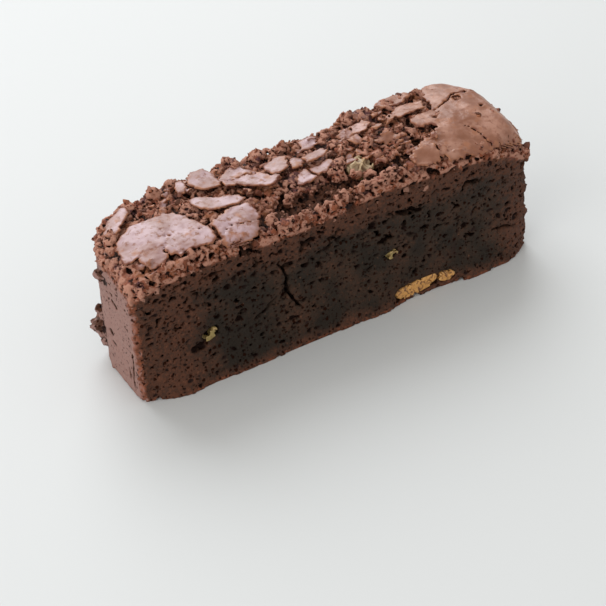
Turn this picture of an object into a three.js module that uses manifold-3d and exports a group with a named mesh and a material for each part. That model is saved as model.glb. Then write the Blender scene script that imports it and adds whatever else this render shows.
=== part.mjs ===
// A chocolate brownie bar: one cut finger of dense cake with a crackled, papery crust on top
// and chopped walnut pieces showing in its cut side and its top.
//
// Millimetres, +Z up. The bar is laid out in its own "bar frame": x runs along the length from the
// near end wall, y runs from the front cut side to the back, z runs up from the flat base.
// The exported group shifts that frame so that the origin is the middle of the footprint.
import * as THREE from "three";
import { mergeVertices } from "three/addons/utils/BufferGeometryUtils.js";
import Module from "manifold-3d";

const wasm = await Module();
wasm.setup();

// ---------------------------------------------------------------- driving dimensions

const LENGTH = 107;
const WIDTH = 28;

// Height of the crust at a few stations along the bar: at the front edge, the middle and the back.
const STATIONS = [
  { x: 0, front: 31.4, middle: 33.4, back: 32.4 },
  { x: 18, front: 34.6, middle: 36.6, back: 35.6 },
  { x: 44, front: 33.8, middle: 35.6, back: 35.8 },
  { x: 65, front: 36, middle: 36.8, back: 35 },
  { x: 86, front: 34.8, middle: 37.8, back: 36.4 },
  { x: 107, front: 31.6, middle: 35.8, back: 32.4 },
];

// Plan radius of each upright corner. The near back corner is broken away in a wide curve.
const CORNERS = [
  { x: 0, y: 0, radius: 3 },
  { x: 0, y: WIDTH, radius: 13.5 },
  { x: LENGTH, y: WIDTH, radius: 11 },
  { x: LENGTH, y: 0, radius: 2.6 },
];

const EDGE_ROUNDING = 1.6; // where the cut sides meet the top
const PAN_EDGE_ROUNDING = 6.5; // the far end baked against the tin, so its edge is softer
const PAN_EDGE_START = 95;

const CRUMB_DROP = 1.4; // the broken crumb between the plates lies this far below the crust
const CRAG_HEIGHT = 2.8; // from the pits to the peaks of the broken crumb
const CRAG_SPACING = 3.2;
const WALL_RIPPLE = 0.7;
const WALL_RIPPLE_SPACING = 7;
const FRONT_BULGE = { x: 80, halfLength: 32, depth: 1.1 }; // the front side swells this much
// The soft foot of the front side sags outward, except at the corners, and less round the walnut.
const FRONT_FOOT = { depth: 3.1, height: 18, nearStart: 10, farStart: 8 };
const FOOT_HOLLOW = { x: 76, inner: 5, outer: 13, share: 0.6 };

// The broken valley that runs along the front half of the top, between the plates and the front edge.
const VALLEY = { x: 52, y: 6.5, halfLength: 21, halfWidth: 4.2, depth: 2.6 };

// The unbroken crust of the pan edge begins here, with a ragged border.
const WHOLE_CRUST_START = 79;

// Grid of the bar's skin, in cells. The skin starts this share of its height below the base, and
// is cut level there.
const BELOW_BASE = 0.05;
const CELLS = { x: 54, y: 16, z: 5 };

// Crust plates: centre, size along and across, turn, lift above the crust level, tilt, corner count.
const PLATE_THICKNESS = 1.1;
const PLATES = [
  { x: 13.2, y: 11.2, long: 21, wide: 15.5, turn: -8, lift: 0.9, tilt: 3, corners: 5 },
  { x: 8.6, y: 5.6, long: 6, wide: 4.6, turn: 12, lift: 0.5, tilt: -4, corners: 5 },
  { x: 30, y: 5.4, long: 13, wide: 11.5, turn: 14, lift: 0.6, tilt: -3, corners: 4 },
  { x: 29.2, y: 15.6, long: 12.5, wide: 6, turn: -32, lift: 0.7, tilt: 5, corners: 4 },
  { x: 31.2, y: 22.8, long: 8.5, wide: 8, turn: 20, lift: 0.8, tilt: 4, corners: 5 },
  { x: 25.2, y: 22.6, long: 3.6, wide: 6, turn: 10, lift: 0.6, tilt: -5, corners: 4 },
  { x: 40, y: 18.4, long: 12.5, wide: 9, turn: -28, lift: 0.8, tilt: 3, corners: 5 },
  { x: 7.2, y: 20.6, long: 9, wide: 5, turn: 42, lift: 0.6, tilt: -6, corners: 4 },
  { x: 49, y: 18.6, long: 7.4, wide: 6.6, turn: 35, lift: 0.9, tilt: 6, corners: 5 },
  { x: 54, y: 18.4, long: 4.6, wide: 4.4, turn: 0, lift: 0.6, tilt: -6, corners: 4 },
  { x: 58, y: 18, long: 6.4, wide: 4.2, turn: 6, lift: 1.2, tilt: 7, corners: 5 },
  { x: 54.5, y: 12.8, long: 11, wide: 4.4, turn: 24, lift: 0.7, tilt: 8, corners: 5 },
  { x: 64, y: 23.4, long: 7, wide: 5, turn: -14, lift: 0.4, tilt: 5, corners: 4 },
  { x: 71, y: 20.4, long: 6.4, wide: 5.4, turn: 25, lift: 0.7, tilt: -7, corners: 5 },
  { x: 78.4, y: 3.6, long: 8.6, wide: 5.6, turn: 4, lift: 0.6, tilt: -5, corners: 5 },
  { x: 76.4, y: 12.4, long: 7, wide: 4.6, turn: 8, lift: 0.6, tilt: 5, corners: 4 },
  { x: 83.4, y: 25.2, long: 10, wide: 6, turn: -6, lift: 1, tilt: 5, corners: 5 },
];

// Lumps of crumb that stand out of the top: place and radius.
const LUMPS = [
  { x: 39.6, y: 25.6, radius: 2.6 },
  { x: 46.6, y: 25.4, radius: 2.3 },
  { x: 53.4, y: 25.2, radius: 2.1 },
  { x: 71.4, y: 25.8, radius: 3 },
  { x: 75.4, y: 25.2, radius: 2.6 },
  { x: 19, y: 25.2, radius: 2.6 },
  { x: 23.4, y: 25.8, radius: 2.1 },
  { x: 12.4, y: 24, radius: 2.4 },
  { x: 4.4, y: 17.4, radius: 2.3 },
  { x: 62, y: 8.4, radius: 2.2 },
  { x: 38.4, y: 3.4, radius: 1.9 },
];
const SMALL_LUMPS = { count: 15, low: 1, high: 1.7 };

// Lumps that cling to the end walls: three at the near back corner, the crumbling upper edge of
// the near end, and the lip where the crust hangs over the far end.
const WALL_LUMPS = [
  { x: 1.2, y: 21, z: 8.4, radius: 3 },
  { x: 1.7, y: 20.6, z: 4.4, radius: 1.8 },
  { x: 1.4, y: 20.6, z: 12.8, radius: 1.6 },
  { x: 0.8, y: 15.6, z: 27.6, radius: 2.1 },
  { x: 0.9, y: 12.2, z: 30, radius: 1.8 },
  { x: 1.1, y: 17.4, z: 23.6, radius: 1.6 },
  { x: LENGTH - 0.8, y: 2, z: 26.4, radius: 2.2 },
  { x: LENGTH - 0.6, y: 5.6, z: 27.8, radius: 1.9 },
];

// Holes that bubbles left in the front side: centre, half sizes and slope of the long axis.
const HOLE_DEPTH = 2.2;
const HOLES = [
  { x: 72, z: 23.6, long: 4.6, high: 0.9, slope: -17 },
  { x: 65.4, z: 19.4, long: 2.6, high: 1.2, slope: 5 },
  { x: 45.4, z: 27.2, long: 1.9, high: 0.9, slope: 8 },
  { x: 15.2, z: 10.2, long: 1.8, high: 1, slope: -10 },
  { x: 61.8, z: 24.6, long: 1, high: 0.9, slope: 0 },
];

// Walnut pieces: centre, half sizes. The knife cut those in the front side flush with it.
const POCKET_GAP = 0.32;
const WALNUTS = [
  { name: "walnut_base_long", x: 73, y: 0.2, z: 2.5, half: [6.2, 3.6, 1.85], slope: 3, cut: true },
  { name: "walnut_base_short", x: 81.8, y: -0.4, z: 2.4, half: [2.3, 2.6, 1.35], slope: -8, cut: true },
  { name: "walnut_near_chip", x: 18.6, y: 0.4, z: 12.5, half: [2.1, 1.7, 1.15], slope: 22, cut: true },
  { name: "walnut_middle_chip", x: 67.2, y: -0.2, z: 14.8, half: [1.5, 1.5, 1], slope: 30, cut: true },
  { name: "walnut_top", x: 64.6, y: 8.4, z: 35.4, half: [3, 2.5, 2], slope: 15, cut: false },
];

// ---------------------------------------------------------------- small helpers

const mix = THREE.MathUtils.lerp;
const ease = THREE.MathUtils.smoothstep;
const degrees = THREE.MathUtils.degToRad;

// A repeatable random number from 0 to 1 for a lattice corner.
function cornerValue(i, j, k) {
  let h = Math.imul(i, 374761393) ^ Math.imul(j, 668265263) ^ Math.imul(k, 1274126177);
  h = Math.imul(h ^ (h >>> 13), 1103515245);
  return ((h ^ (h >>> 16)) >>> 0) / 4294967296;
}

// Smooth noise from -1 to 1 that changes over about one unit.
function noise(x, y, z) {
  const [i, j, k] = [Math.floor(x), Math.floor(y), Math.floor(z)];
  const [u, v, w] = [x - i, y - j, z - k].map((t) => t * t * (3 - 2 * t));
  const edge = (b, c) => mix(cornerValue(i, j + b, k + c), cornerValue(i + 1, j + b, k + c), u);
  return 2 * mix(mix(edge(0, 0), edge(1, 0), v), mix(edge(0, 1), edge(1, 1), v), w) - 1;
}

// A manifold-3d solid from any closed three.js geometry.
function solidOf(geometry) {
  const bare = geometry.clone();
  bare.deleteAttribute("normal");
  bare.deleteAttribute("uv");
  const merged = mergeVertices(bare, 1e-4);
  const vertProperties = new Float32Array(merged.attributes.position.array);
  const triVerts = new Uint32Array(merged.index.array);
  return new wasm.Manifold(new wasm.Mesh({ numProp: 3, vertProperties, triVerts }));
}

function geometryOf(solid) {
  const mesh = solid.getMesh();
  const geometry = new THREE.BufferGeometry();
  geometry.setAttribute("position", new THREE.BufferAttribute(mesh.vertProperties, 3));
  geometry.setIndex(new THREE.BufferAttribute(mesh.triVerts, 1));
  geometry.computeVertexNormals();
  return geometry;
}

// Moves every vertex of a geometry by a rule that is given the vertex.
function reshape(geometry, rule) {
  const position = geometry.attributes.position;
  const point = new THREE.Vector3();
  for (let i = 0; i < position.count; i++) {
    point.fromBufferAttribute(position, i);
    rule(point);
    position.setXYZ(i, point.x, point.y, point.z);
  }
  return geometry;
}

// ---------------------------------------------------------------- the form of the bar

// Crust level over a point of the plan, from the stations, before edges and breakage.
function crustLevel(x, y) {
  const last = STATIONS.length - 2;
  const n = Math.min(last, Math.max(0, STATIONS.findIndex((s) => s.x > x) - 1));
  const [a, b] = [STATIONS[x >= LENGTH ? last : n], STATIONS[(x >= LENGTH ? last : n) + 1]];
  const t = ease(x, a.x, b.x);
  const across = 2 * THREE.MathUtils.clamp(y / WIDTH, 0, 1) - 1;
  const middle = mix(a.middle, b.middle, t);
  const edge = across < 0 ? mix(a.front, b.front, t) : mix(a.back, b.back, t);
  return middle + (edge - middle) * across * across;
}

// Bends a point of the rectangle so that the rectangle's corners become arcs.
function roundPlan(point) {
  for (const corner of CORNERS) {
    const sx = corner.x === 0 ? -1 : 1;
    const sy = corner.y === 0 ? -1 : 1;
    const dx = (point.x - (corner.x - sx * corner.radius)) * sx;
    const dy = (point.y - (corner.y - sy * corner.radius)) * sy;
    if (dx <= 0 || dy <= 0) continue;
    const shrink = Math.max(dx, dy) / Math.hypot(dx, dy);
    point.x += sx * dx * (shrink - 1);
    point.y += sy * dy * (shrink - 1);
  }
}

// How far the top falls away where it meets the walls.
function edgeFall(distance, radius) {
  const inside = Math.min(distance, radius);
  return radius - Math.sqrt(radius * radius - (radius - inside) ** 2);
}

// 1 on the whole crust of the pan edge, 0 on the broken part.
function wholeCrust(x, y) {
  const border = WHOLE_CRUST_START + 3 * noise(y / 4, 5.5, 2.5) + (y > 20 ? 3 : 0);
  return ease(x, border, border + 1.5);
}

// Height of the bar's skin under the plates: rough crumb, the valley, and the whole crust.
function skinHeight(x, y, toWall) {
  const whole = wholeCrust(x, y);
  const rounding = mix(EDGE_ROUNDING, PAN_EDGE_ROUNDING, ease(x, PAN_EDGE_START, LENGTH));
  const crag = noise(x / CRAG_SPACING, y / CRAG_SPACING, 0.5);
  const grain = noise(x / 1.5, y / 1.5, 7.5);
  const reach = Math.hypot((x - VALLEY.x) / VALLEY.halfLength, (y - VALLEY.y) / VALLEY.halfWidth);
  const valley = VALLEY.depth * (1 - ease(reach, 0.5, 1.15));
  const broken = CRUMB_DROP + valley - CRAG_HEIGHT * (0.4 * crag + 0.15 * grain);
  const gentle = 0.35 * noise(x / 6, y / 6, 3.5);
  return crustLevel(x, y) - edgeFall(toWall, rounding) - mix(broken, gentle, whole);
}

// How far the front side stands out of its flat plane.
function frontReach(x, z) {
  const bulge = 1 - ease(Math.abs(x - FRONT_BULGE.x) / FRONT_BULGE.halfLength, 0.2, 1);
  const ends = ease(x, 0, FRONT_FOOT.nearStart) * ease(LENGTH - x, 0, FRONT_FOOT.farStart);
  const nearNut = 1 - ease(Math.abs(x - FOOT_HOLLOW.x), FOOT_HOLLOW.inner, FOOT_HOLLOW.outer);
  const low = Math.max(0, 1 - z / FRONT_FOOT.height);
  const foot = FRONT_FOOT.depth * ends * (1 - FOOT_HOLLOW.share * nearNut) * Math.min(1, low) ** 2;
  return FRONT_BULGE.depth * bulge + foot;
}

// The skin is a subdivided box whose vertices are carried onto the bar's form.
function barSkin() {
  const box = new THREE.BoxGeometry(LENGTH, WIDTH, 1, CELLS.x, CELLS.y, CELLS.z);
  box.translate(LENGTH / 2, WIDTH / 2, 0.5 - BELOW_BASE);
  return reshape(box, (p) => {
    const { x, y } = p;
    const share = (p.z + BELOW_BASE) * (1 + BELOW_BASE) - BELOW_BASE;
    const toWall = Math.min(x, y, LENGTH - x, WIDTH - y);
    roundPlan(p);
    p.z = share * skinHeight(p.x, p.y, toWall);
    if (toWall > 1e-6) return;
    const fade = ease(share, 0, 0.15);
    const ripple = WALL_RIPPLE * noise((x + y) / WALL_RIPPLE_SPACING, p.z / WALL_RIPPLE_SPACING, 1.5);
    if (y < 1e-6) p.y -= ripple * fade + frontReach(p.x, p.z);
    else if (WIDTH - y < 1e-6) p.y += ripple * fade;
    else p.x += Math.sign(p.x - LENGTH / 2) * ripple * fade;
  });
}

// ---------------------------------------------------------------- plates and lumps

// One crust plate: an extruded polygon with ragged edges, laid on the crust and tilted a little.
function plateGeometry(plate, seed) {
  const steps = 4 * plate.corners;
  const outline = [];
  for (let i = 0; i < steps; i++) {
    const angle = (2 * Math.PI * i) / steps;
    const sector = Math.PI / plate.corners;
    const flat = Math.cos(sector) / Math.cos((angle % (2 * sector)) - sector);
    const radius = mix(1, flat, 0.8) * (1 + 0.16 * noise(i * 0.9, seed + 0.5, 0.5));
    outline.push(new THREE.Vector2(radius * plate.long / 2 * Math.cos(angle),
      radius * plate.wide / 2 * Math.sin(angle)));
  }
  const geometry = new THREE.ExtrudeGeometry(new THREE.Shape(outline), {
    depth: PLATE_THICKNESS,
    bevelEnabled: false,
  });
  geometry.translate(0, 0, -PLATE_THICKNESS);
  geometry.rotateX(degrees(plate.tilt));
  geometry.rotateZ(degrees(plate.turn));
  // Each vertex follows the crust level under it, so that a plate bends as the bar does.
  return reshape(geometry, (p) => {
    const bend = crustLevel(plate.x + p.x, plate.y + p.y);
    p.set(plate.x + p.x, plate.y + p.y, p.z + bend + plate.lift - CRUMB_DROP / 2);
  });
}

// A lump of crumb: a ball drawn out one way, then pushed in and out by noise.
function lumpGeometry({ x, y, z, radius }) {
  const lump = new THREE.IcosahedronGeometry(radius, 1);
  lump.scale(1.25, 0.95, 0.85).rotateZ(noise(x, y, 8.5) * Math.PI);
  return reshape(lump, (p) => {
    const push = 1 + 0.4 * noise((p.x + x) / radius, (p.y + y) / radius, (p.z + z) / radius);
    p.multiplyScalar(push).add(new THREE.Vector3(x, y, z));
  });
}

// The lumps of the top, set into the crust level, with small ones added at repeatable places over
// the broken part.
function topLumps() {
  const places = [...LUMPS];
  for (let i = 0; places.length < LUMPS.length + SMALL_LUMPS.count; i++) {
    const x = 2 + (WHOLE_CRUST_START - 4) * cornerValue(i, 11, 3);
    const y = 1.4 + (WIDTH - 2.8) * cornerValue(i, 23, 5);
    const radius = mix(SMALL_LUMPS.low, SMALL_LUMPS.high, cornerValue(i, 37, 7));
    const offCorner = x + (WIDTH - y) > 13.5;
    const clearOfNut = WALNUTS.every((n) => n.cut || Math.hypot(n.x - x, n.y - y) > 5.5);
    if (offCorner && clearOfNut) places.push({ x, y, radius });
  }
  return places.map((at) => ({ ...at, z: crustLevel(at.x, at.y) - 0.7 * at.radius }));
}

// ---------------------------------------------------------------- walnuts

// A walnut piece, or the pocket that it sits in when grow is the gap between the two.
function walnutGeometry(nut, grow) {
  const ball = new THREE.SphereGeometry(1, 11, 7);
  reshape(ball, (p) => {
    const facet = Math.pow(Math.abs(p.x) ** 3 + Math.abs(p.y) ** 3 + Math.abs(p.z) ** 3, -1 / 3);
    const push = facet * (1 + 0.2 * noise(p.x * 1.6 + nut.x, p.y * 1.6, p.z * 1.6));
    p.multiplyScalar(push);
    p.multiply(new THREE.Vector3(...nut.half.map((h) => h + grow)));
  });
  ball.rotateY(degrees(-nut.slope));
  return ball.translate(nut.x, nut.y, nut.z);
}

// What the tin's floor kept away: everything below the base.
function belowTheBase() {
  return solidOf(new THREE.BoxGeometry(2 * LENGTH, 4 * WIDTH, 20).translate(LENGTH / 2, 0, -10));
}

// ---------------------------------------------------------------- assembly

function brownieSolid(skin) {
  let solid = skin;
  PLATES.forEach((plate, i) => {
    solid = solid.add(solidOf(plateGeometry(plate, i)));
  });
  for (const lump of [...topLumps(), ...WALL_LUMPS]) solid = solid.add(solidOf(lumpGeometry(lump)));
  for (const hole of HOLES) {
    const bubble = new THREE.SphereGeometry(1, 10, 7).scale(hole.long, HOLE_DEPTH, hole.high);
    bubble.rotateY(degrees(-hole.slope));
    bubble.translate(hole.x, 0.4 - frontReach(hole.x, hole.z), hole.z);
    solid = solid.subtract(solidOf(bubble));
  }
  for (const nut of WALNUTS) solid = solid.subtract(solidOf(walnutGeometry(nut, POCKET_GAP)));
  return largestPiece(solid.subtract(belowTheBase()));
}

// Cutting and fusing can leave loose scraps, which are dropped.
function largestPiece(solid) {
  return solid.decompose().sort((a, b) => b.volume() - a.volume())[0];
}

const crumbMaterial = new THREE.MeshStandardMaterial({ color: 0x4a3226, roughness: 0.9 });
const walnutMaterial = new THREE.MeshStandardMaterial({ color: 0xc79a5c, roughness: 0.7 });

const group = new THREE.Group();

const skin = solidOf(barSkin());
const brownie = new THREE.Mesh(geometryOf(brownieSolid(skin)), crumbMaterial);
brownie.name = "brownie";
group.add(brownie);

for (const nut of WALNUTS) {
  const whole = solidOf(walnutGeometry(nut, 0));
  const shown = nut.cut ? whole.intersect(skin) : whole;
  const mesh = new THREE.Mesh(geometryOf(largestPiece(shown)), walnutMaterial);
  mesh.name = nut.name;
  group.add(mesh);
}

// The origin is the middle of the footprint, at the base.
const footprint = new THREE.Box3().setFromObject(group);
const middle = footprint.getCenter(new THREE.Vector3());
group.position.set(-middle.x, -middle.y, 0);

export default group;
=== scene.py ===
# %% [markdown]
# # A finger of chocolate brownie
# The cake is cut from a tray: two long sides and one end show the torn, porous crumb that the
# knife left, and the other end still has the crust that set against the tin. The top is a thin
# sugar crust that cracked into plates while the cake rose and sank under it.
#
# The pieces are made in the order in which they are seen: the cake, the crust plates on it, the
# walnut in it, and the loose crumbs and flakes on top. Every size is in millimetres of the real
# thing, and is turned to metres where it meets Blender.

import math

import bpy
import numpy as np
from mathutils import Matrix, Vector


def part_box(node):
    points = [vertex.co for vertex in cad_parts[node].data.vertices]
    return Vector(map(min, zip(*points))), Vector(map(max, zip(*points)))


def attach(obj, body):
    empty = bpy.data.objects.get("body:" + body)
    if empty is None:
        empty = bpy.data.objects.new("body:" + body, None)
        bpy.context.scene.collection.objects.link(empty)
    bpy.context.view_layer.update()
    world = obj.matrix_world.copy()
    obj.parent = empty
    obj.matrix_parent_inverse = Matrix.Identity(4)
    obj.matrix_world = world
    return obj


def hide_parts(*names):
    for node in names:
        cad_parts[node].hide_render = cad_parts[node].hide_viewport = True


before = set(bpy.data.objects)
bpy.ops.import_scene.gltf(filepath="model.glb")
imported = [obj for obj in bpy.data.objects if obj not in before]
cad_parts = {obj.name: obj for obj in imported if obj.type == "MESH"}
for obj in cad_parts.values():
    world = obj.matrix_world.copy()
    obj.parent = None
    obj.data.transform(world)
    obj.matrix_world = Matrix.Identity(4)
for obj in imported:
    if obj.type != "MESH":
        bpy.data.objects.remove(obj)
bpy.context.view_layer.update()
MM = 0.001

# %% [markdown]
# ## The bar's own frame
# Cake is laid out from a corner, as a cook would cut it: x from the near end along the bar, y from
# the front side to the back, z up from the tin's floor. The near corner sits a little inside the
# CAD box, because crumbs cling to the near end and the front side swells.

# %% Driving sizes
LENGTH = 107
WIDTH = 28
CLINGING_CRUMB_REACH = 2.31
FRONT_SWELL_REACH = 3.79

brownie_low, brownie_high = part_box("brownie")
bar_origin = brownie_low + Vector((CLINGING_CRUMB_REACH, FRONT_SWELL_REACH, 0)) * MM
print("bar origin, mm:", [round(v / MM, 2) for v in bar_origin])

# Height of the crust level along the bar, at the front edge, in the middle and at the back edge.
STATIONS = {
    0: (31.4, 33.4, 32.4),
    18: (34.6, 36.6, 35.6),
    44: (33.8, 35.6, 35.8),
    65: (36, 36.8, 35),
    86: (34.8, 37.8, 36.4),
    LENGTH: (31.6, 35.8, 32.4),
}
CORNER_RADII = {"near front": 1.6, "far front": 2.6, "near back": 13.5, "far back": 11}

# %% [markdown]
# ## One helper for all node trees
# Geometry and materials are both made from node trees. One small function adds a node, sets its
# properties and fills or links its inputs, so that each tree reads as a list of steps. The kinds of
# node and the settings that come back again and again have a name.


# %% A function that adds a node
def add(tree, kind, settings=None, inputs=None):
    """Adds one node and returns it. Inputs are a list in order, or a dict by name or number."""
    node = tree.nodes.new(kind)
    for name, value in (settings or {}).items():
        setattr(node, name, value)
    pairs = enumerate(inputs) if isinstance(inputs, (list, tuple)) else (inputs or {}).items()
    for key, value in pairs:
        if isinstance(value, bpy.types.Node):
            value = next(socket for socket in value.outputs if socket.enabled)
        if isinstance(value, bpy.types.NodeSocket):
            tree.links.new(value, node.inputs[key])
        elif value is not None:
            node.inputs[key].default_value = value
    return node


def new_tree(name, inputs, outputs):
    """An empty geometry tree with named sockets. Each input is (name, socket type, default)."""
    tree = bpy.data.node_groups.new(name, "GeometryNodeTree")
    for title, kind, default in inputs:
        socket = tree.interface.new_socket(name=title, in_out="INPUT", socket_type=kind)
        if default is not None:
            socket.default_value = default
    for title, kind in outputs:
        tree.interface.new_socket(name=title, in_out="OUTPUT", socket_type=kind)
    return tree


MATH = "ShaderNodeMath"
VECTOR_MATH = "ShaderNodeVectorMath"
NOISE = "ShaderNodeTexNoise"
CELLS = "ShaderNodeTexVoronoi"
RANGE = "ShaderNodeMapRange"
MIX = "ShaderNodeMix"
SMOOTH = {"interpolation_type": "SMOOTHSTEP"}
ADD = {"operation": "ADD"}
SUBTRACT = {"operation": "SUBTRACT"}
MULTIPLY = {"operation": "MULTIPLY"}
DIVIDE = {"operation": "DIVIDE"}
MINIMUM = {"operation": "MINIMUM"}
MAXIMUM = {"operation": "MAXIMUM"}
ABSOLUTE = {"operation": "ABSOLUTE"}
POWER = {"operation": "POWER"}
MULTIPLY_ADD = {"operation": "MULTIPLY_ADD"}
DOT_PRODUCT = {"operation": "DOT_PRODUCT"}
DISTANCE = {"operation": "LENGTH"}
# Blends of two solids' rules: what both hold, and what either holds, with a soft joint.
SMOOTH_MIN = {"operation": "SMOOTH_MIN"}
SMOOTH_MAX = {"operation": "SMOOTH_MAX"}
FLOAT = "NodeSocketFloat"
GEOMETRY = "NodeSocketGeometry"
VECTOR = "NodeSocketVector"

# %% [markdown]
# ## The form that everything follows
# The cake, the crust and the crumbs all need to know two things about a point: how far it is
# inside the cut walls, and how high the crust level is there. Both are rules, not meshes, so they
# go into one node group that the other trees call. The heights come from three curves along the
# bar. The walls are a rectangle whose four corners have their own radii.

# %% The form as a node group
LOWEST_LEVEL = 28
HIGHEST_LEVEL = 40
CUT_EDGE_ROUNDING = 1.6
TIN_EDGE_ROUNDING = 6.5
TIN_EDGE_START = 95
# The rounding stops this share of its radius before the wall, so that it never turns vertical.
STEEPEST_SHARE = 0.12
FRONT_SWELL = {"middle": 80, "start": 6, "end": 32, "depth": 1.1}
# The soft foot of the front side sags outward, except at the corners, and less round the walnut.
FRONT_FOOT = {"depth": 3.1, "height": 18, "near start": 10, "far start": 8}
FOOT_HOLLOW = {"x": 76, "inner": 5, "outer": 13, "share": 0.6}


def height_curve(tree, along, column):
    """A float curve through one column of the stations, read at a share of the length."""
    node = add(tree, "ShaderNodeFloatCurve", None, {"Value": along})
    curve = node.mapping.curves[0]
    wanted = [
        (x / LENGTH, (heights[column] - LOWEST_LEVEL) / (HIGHEST_LEVEL - LOWEST_LEVEL))
        for x, heights in STATIONS.items()
    ]
    curve.points[0].location = wanted[0]
    curve.points[1].location = wanted[-1]
    for place in wanted[1:-1]:
        curve.points.new(*place)
    node.mapping.update()
    span = HIGHEST_LEVEL - LOWEST_LEVEL
    return add(tree, MATH, MULTIPLY_ADD, [node, span, LOWEST_LEVEL])


def make_form_group():
    tree = new_tree(
        "bar form",
        [("Place", VECTOR, None)],
        [("Wall", FLOAT), ("Level", FLOAT)],
    )
    place = add(tree, "NodeGroupInput").outputs["Place"]
    split = add(tree, "ShaderNodeSeparateXYZ", None, [place])
    x, y, z = (split.outputs[letter] for letter in "XYZ")

    # Crust level: across the bar it runs from an edge height over the middle to the other edge.
    along = add(tree, MATH, {"operation": "DIVIDE", "use_clamp": True}, [x, LENGTH])
    front, middle, back = (height_curve(tree, along, column) for column in range(3))
    share = add(tree, MATH, {"operation": "DIVIDE", "use_clamp": True}, [y, WIDTH])
    across = add(tree, MATH, MULTIPLY_ADD, [share, 2, -1])
    behind = add(tree, MATH, {"operation": "GREATER_THAN"}, [across, 0])
    edge = add(tree, MIX, None, {0: behind, 2: front, 3: back})
    from_middle = add(tree, MATH, ABSOLUTE, [across])
    squared = add(tree, MATH, POWER, [from_middle, 2])
    level = add(tree, MIX, None, {0: squared, 2: middle, 3: edge})

    # Walls: the front side swells and its foot sags, then each corner gets its own radius.
    swell_from = add(tree, MATH, SUBTRACT, [x, FRONT_SWELL["middle"]])
    swell_gap = add(tree, MATH, ABSOLUTE, [swell_from])
    swell = add(
        tree,
        RANGE,
        SMOOTH,
        [swell_gap, FRONT_SWELL["start"], FRONT_SWELL["end"], FRONT_SWELL["depth"], 0],
    )
    foot = FRONT_FOOT["depth"]
    nut_gap = add(tree, MATH, SUBTRACT, [x, FOOT_HOLLOW["x"]])
    nut_gap = add(tree, MATH, ABSOLUTE, [nut_gap])
    low = add(tree, RANGE, None, [z, 0, FRONT_FOOT["height"], 1, 0])
    for value, start, end, least in (
        (x, 0, FRONT_FOOT["near start"], 0),
        (x, LENGTH, LENGTH - FRONT_FOOT["far start"], 0),
        (nut_gap, FOOT_HOLLOW["inner"], FOOT_HOLLOW["outer"], 1 - FOOT_HOLLOW["share"]),
    ):
        sag = add(tree, RANGE, SMOOTH, [value, start, end, least, 1])
        foot = add(tree, MATH, MULTIPLY, [foot, sag])
    foot = add(tree, MATH, MULTIPLY, [foot, low])
    foot = add(tree, MATH, MULTIPLY, [foot, low])
    swell = add(tree, MATH, ADD, [swell, foot])
    ahead = add(tree, MATH, SUBTRACT, [1, share])
    swell_here = add(tree, MATH, MULTIPLY, [swell, ahead])
    y_shifted = add(tree, MATH, ADD, [y, swell_here])
    far = add(tree, MATH, {"operation": "GREATER_THAN"}, [x, LENGTH / 2])
    radius_front = add(
        tree, MIX, None, {0: far, 2: CORNER_RADII["near front"], 3: CORNER_RADII["far front"]}
    )
    radius_back = add(
        tree, MIX, None, {0: far, 2: CORNER_RADII["near back"], 3: CORNER_RADII["far back"]}
    )
    radius = add(tree, MIX, None, {0: behind, 2: radius_front, 3: radius_back})
    flat = add(tree, "ShaderNodeCombineXYZ", None, [x, y_shifted, 0])
    middle_of_plan = (LENGTH / 2, WIDTH / 2, 0)
    centred = add(tree, VECTOR_MATH, SUBTRACT, [flat, middle_of_plan])
    folded = add(tree, VECTOR_MATH, ABSOLUTE, [centred])
    past = add(tree, VECTOR_MATH, SUBTRACT, [folded, middle_of_plan])
    past_corner = add(tree, VECTOR_MATH, ADD, [past, radius])
    past_split = add(tree, "ShaderNodeSeparateXYZ", None, [past_corner])
    across_x = add(tree, MATH, MAXIMUM, [past_split.outputs["X"], 0])
    across_y = add(tree, MATH, MAXIMUM, [past_split.outputs["Y"], 0])
    from_centre = add(tree, "ShaderNodeCombineXYZ", None, [across_x, across_y, 0])
    outside = add(tree, VECTOR_MATH, DISTANCE, [from_centre]).outputs["Value"]
    nearer = add(
        tree, MATH, MAXIMUM, [past_split.outputs["X"], past_split.outputs["Y"]]
    )
    inside = add(tree, MATH, MINIMUM, [nearer, 0])
    within_corner = add(tree, MATH, SUBTRACT, [radius, outside])
    wall = add(tree, MATH, SUBTRACT, [within_corner, inside])

    # The top falls away to the walls: sharply at a cut, softly where the cake met the tin.
    tin = add(tree, RANGE, SMOOTH, [x, TIN_EDGE_START, LENGTH, 0, 1])
    rounding = add(tree, MIX, None, {0: tin, 2: CUT_EDGE_ROUNDING, 3: TIN_EDGE_ROUNDING})
    steepest = add(tree, MATH, MULTIPLY, [rounding, STEEPEST_SHARE])
    held = add(tree, MATH, MAXIMUM, [wall, steepest])
    short = add(tree, MATH, SUBTRACT, [rounding, held])
    short = add(tree, MATH, MAXIMUM, [short, 0])
    square = add(tree, MATH, MULTIPLY, [rounding, rounding])
    short_square = add(tree, MATH, MULTIPLY, [short, short])
    rest = add(tree, MATH, SUBTRACT, [square, short_square])
    arc = add(tree, MATH, {"operation": "SQRT"}, [rest])
    fall = add(tree, MATH, SUBTRACT, [rounding, arc])
    fallen = add(tree, MATH, SUBTRACT, [level, fall])
    add(tree, "NodeGroupOutput", None, [wall, fallen])
    return tree


form_group = make_form_group()
print("form group nodes:", len(form_group.nodes))

# %% [markdown]
# ## Crumb lumps, cracks and bubble holes
# Some features have a place of their own: lumps that stand up along the back edge, the raised rim
# over the front side, hollows under the crust plates, the crumbs that cling to the end walls, and
# the cracks and larger bubble holes in the cut sides. They could be sculpted, but a sculpture can't
# be read or changed as numbers. So they are short lists in millimetres. Each list becomes a small
# helper mesh that the cake's tree measures its distance to, and the tree adds or takes away cake
# wherever that distance is small.

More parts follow.
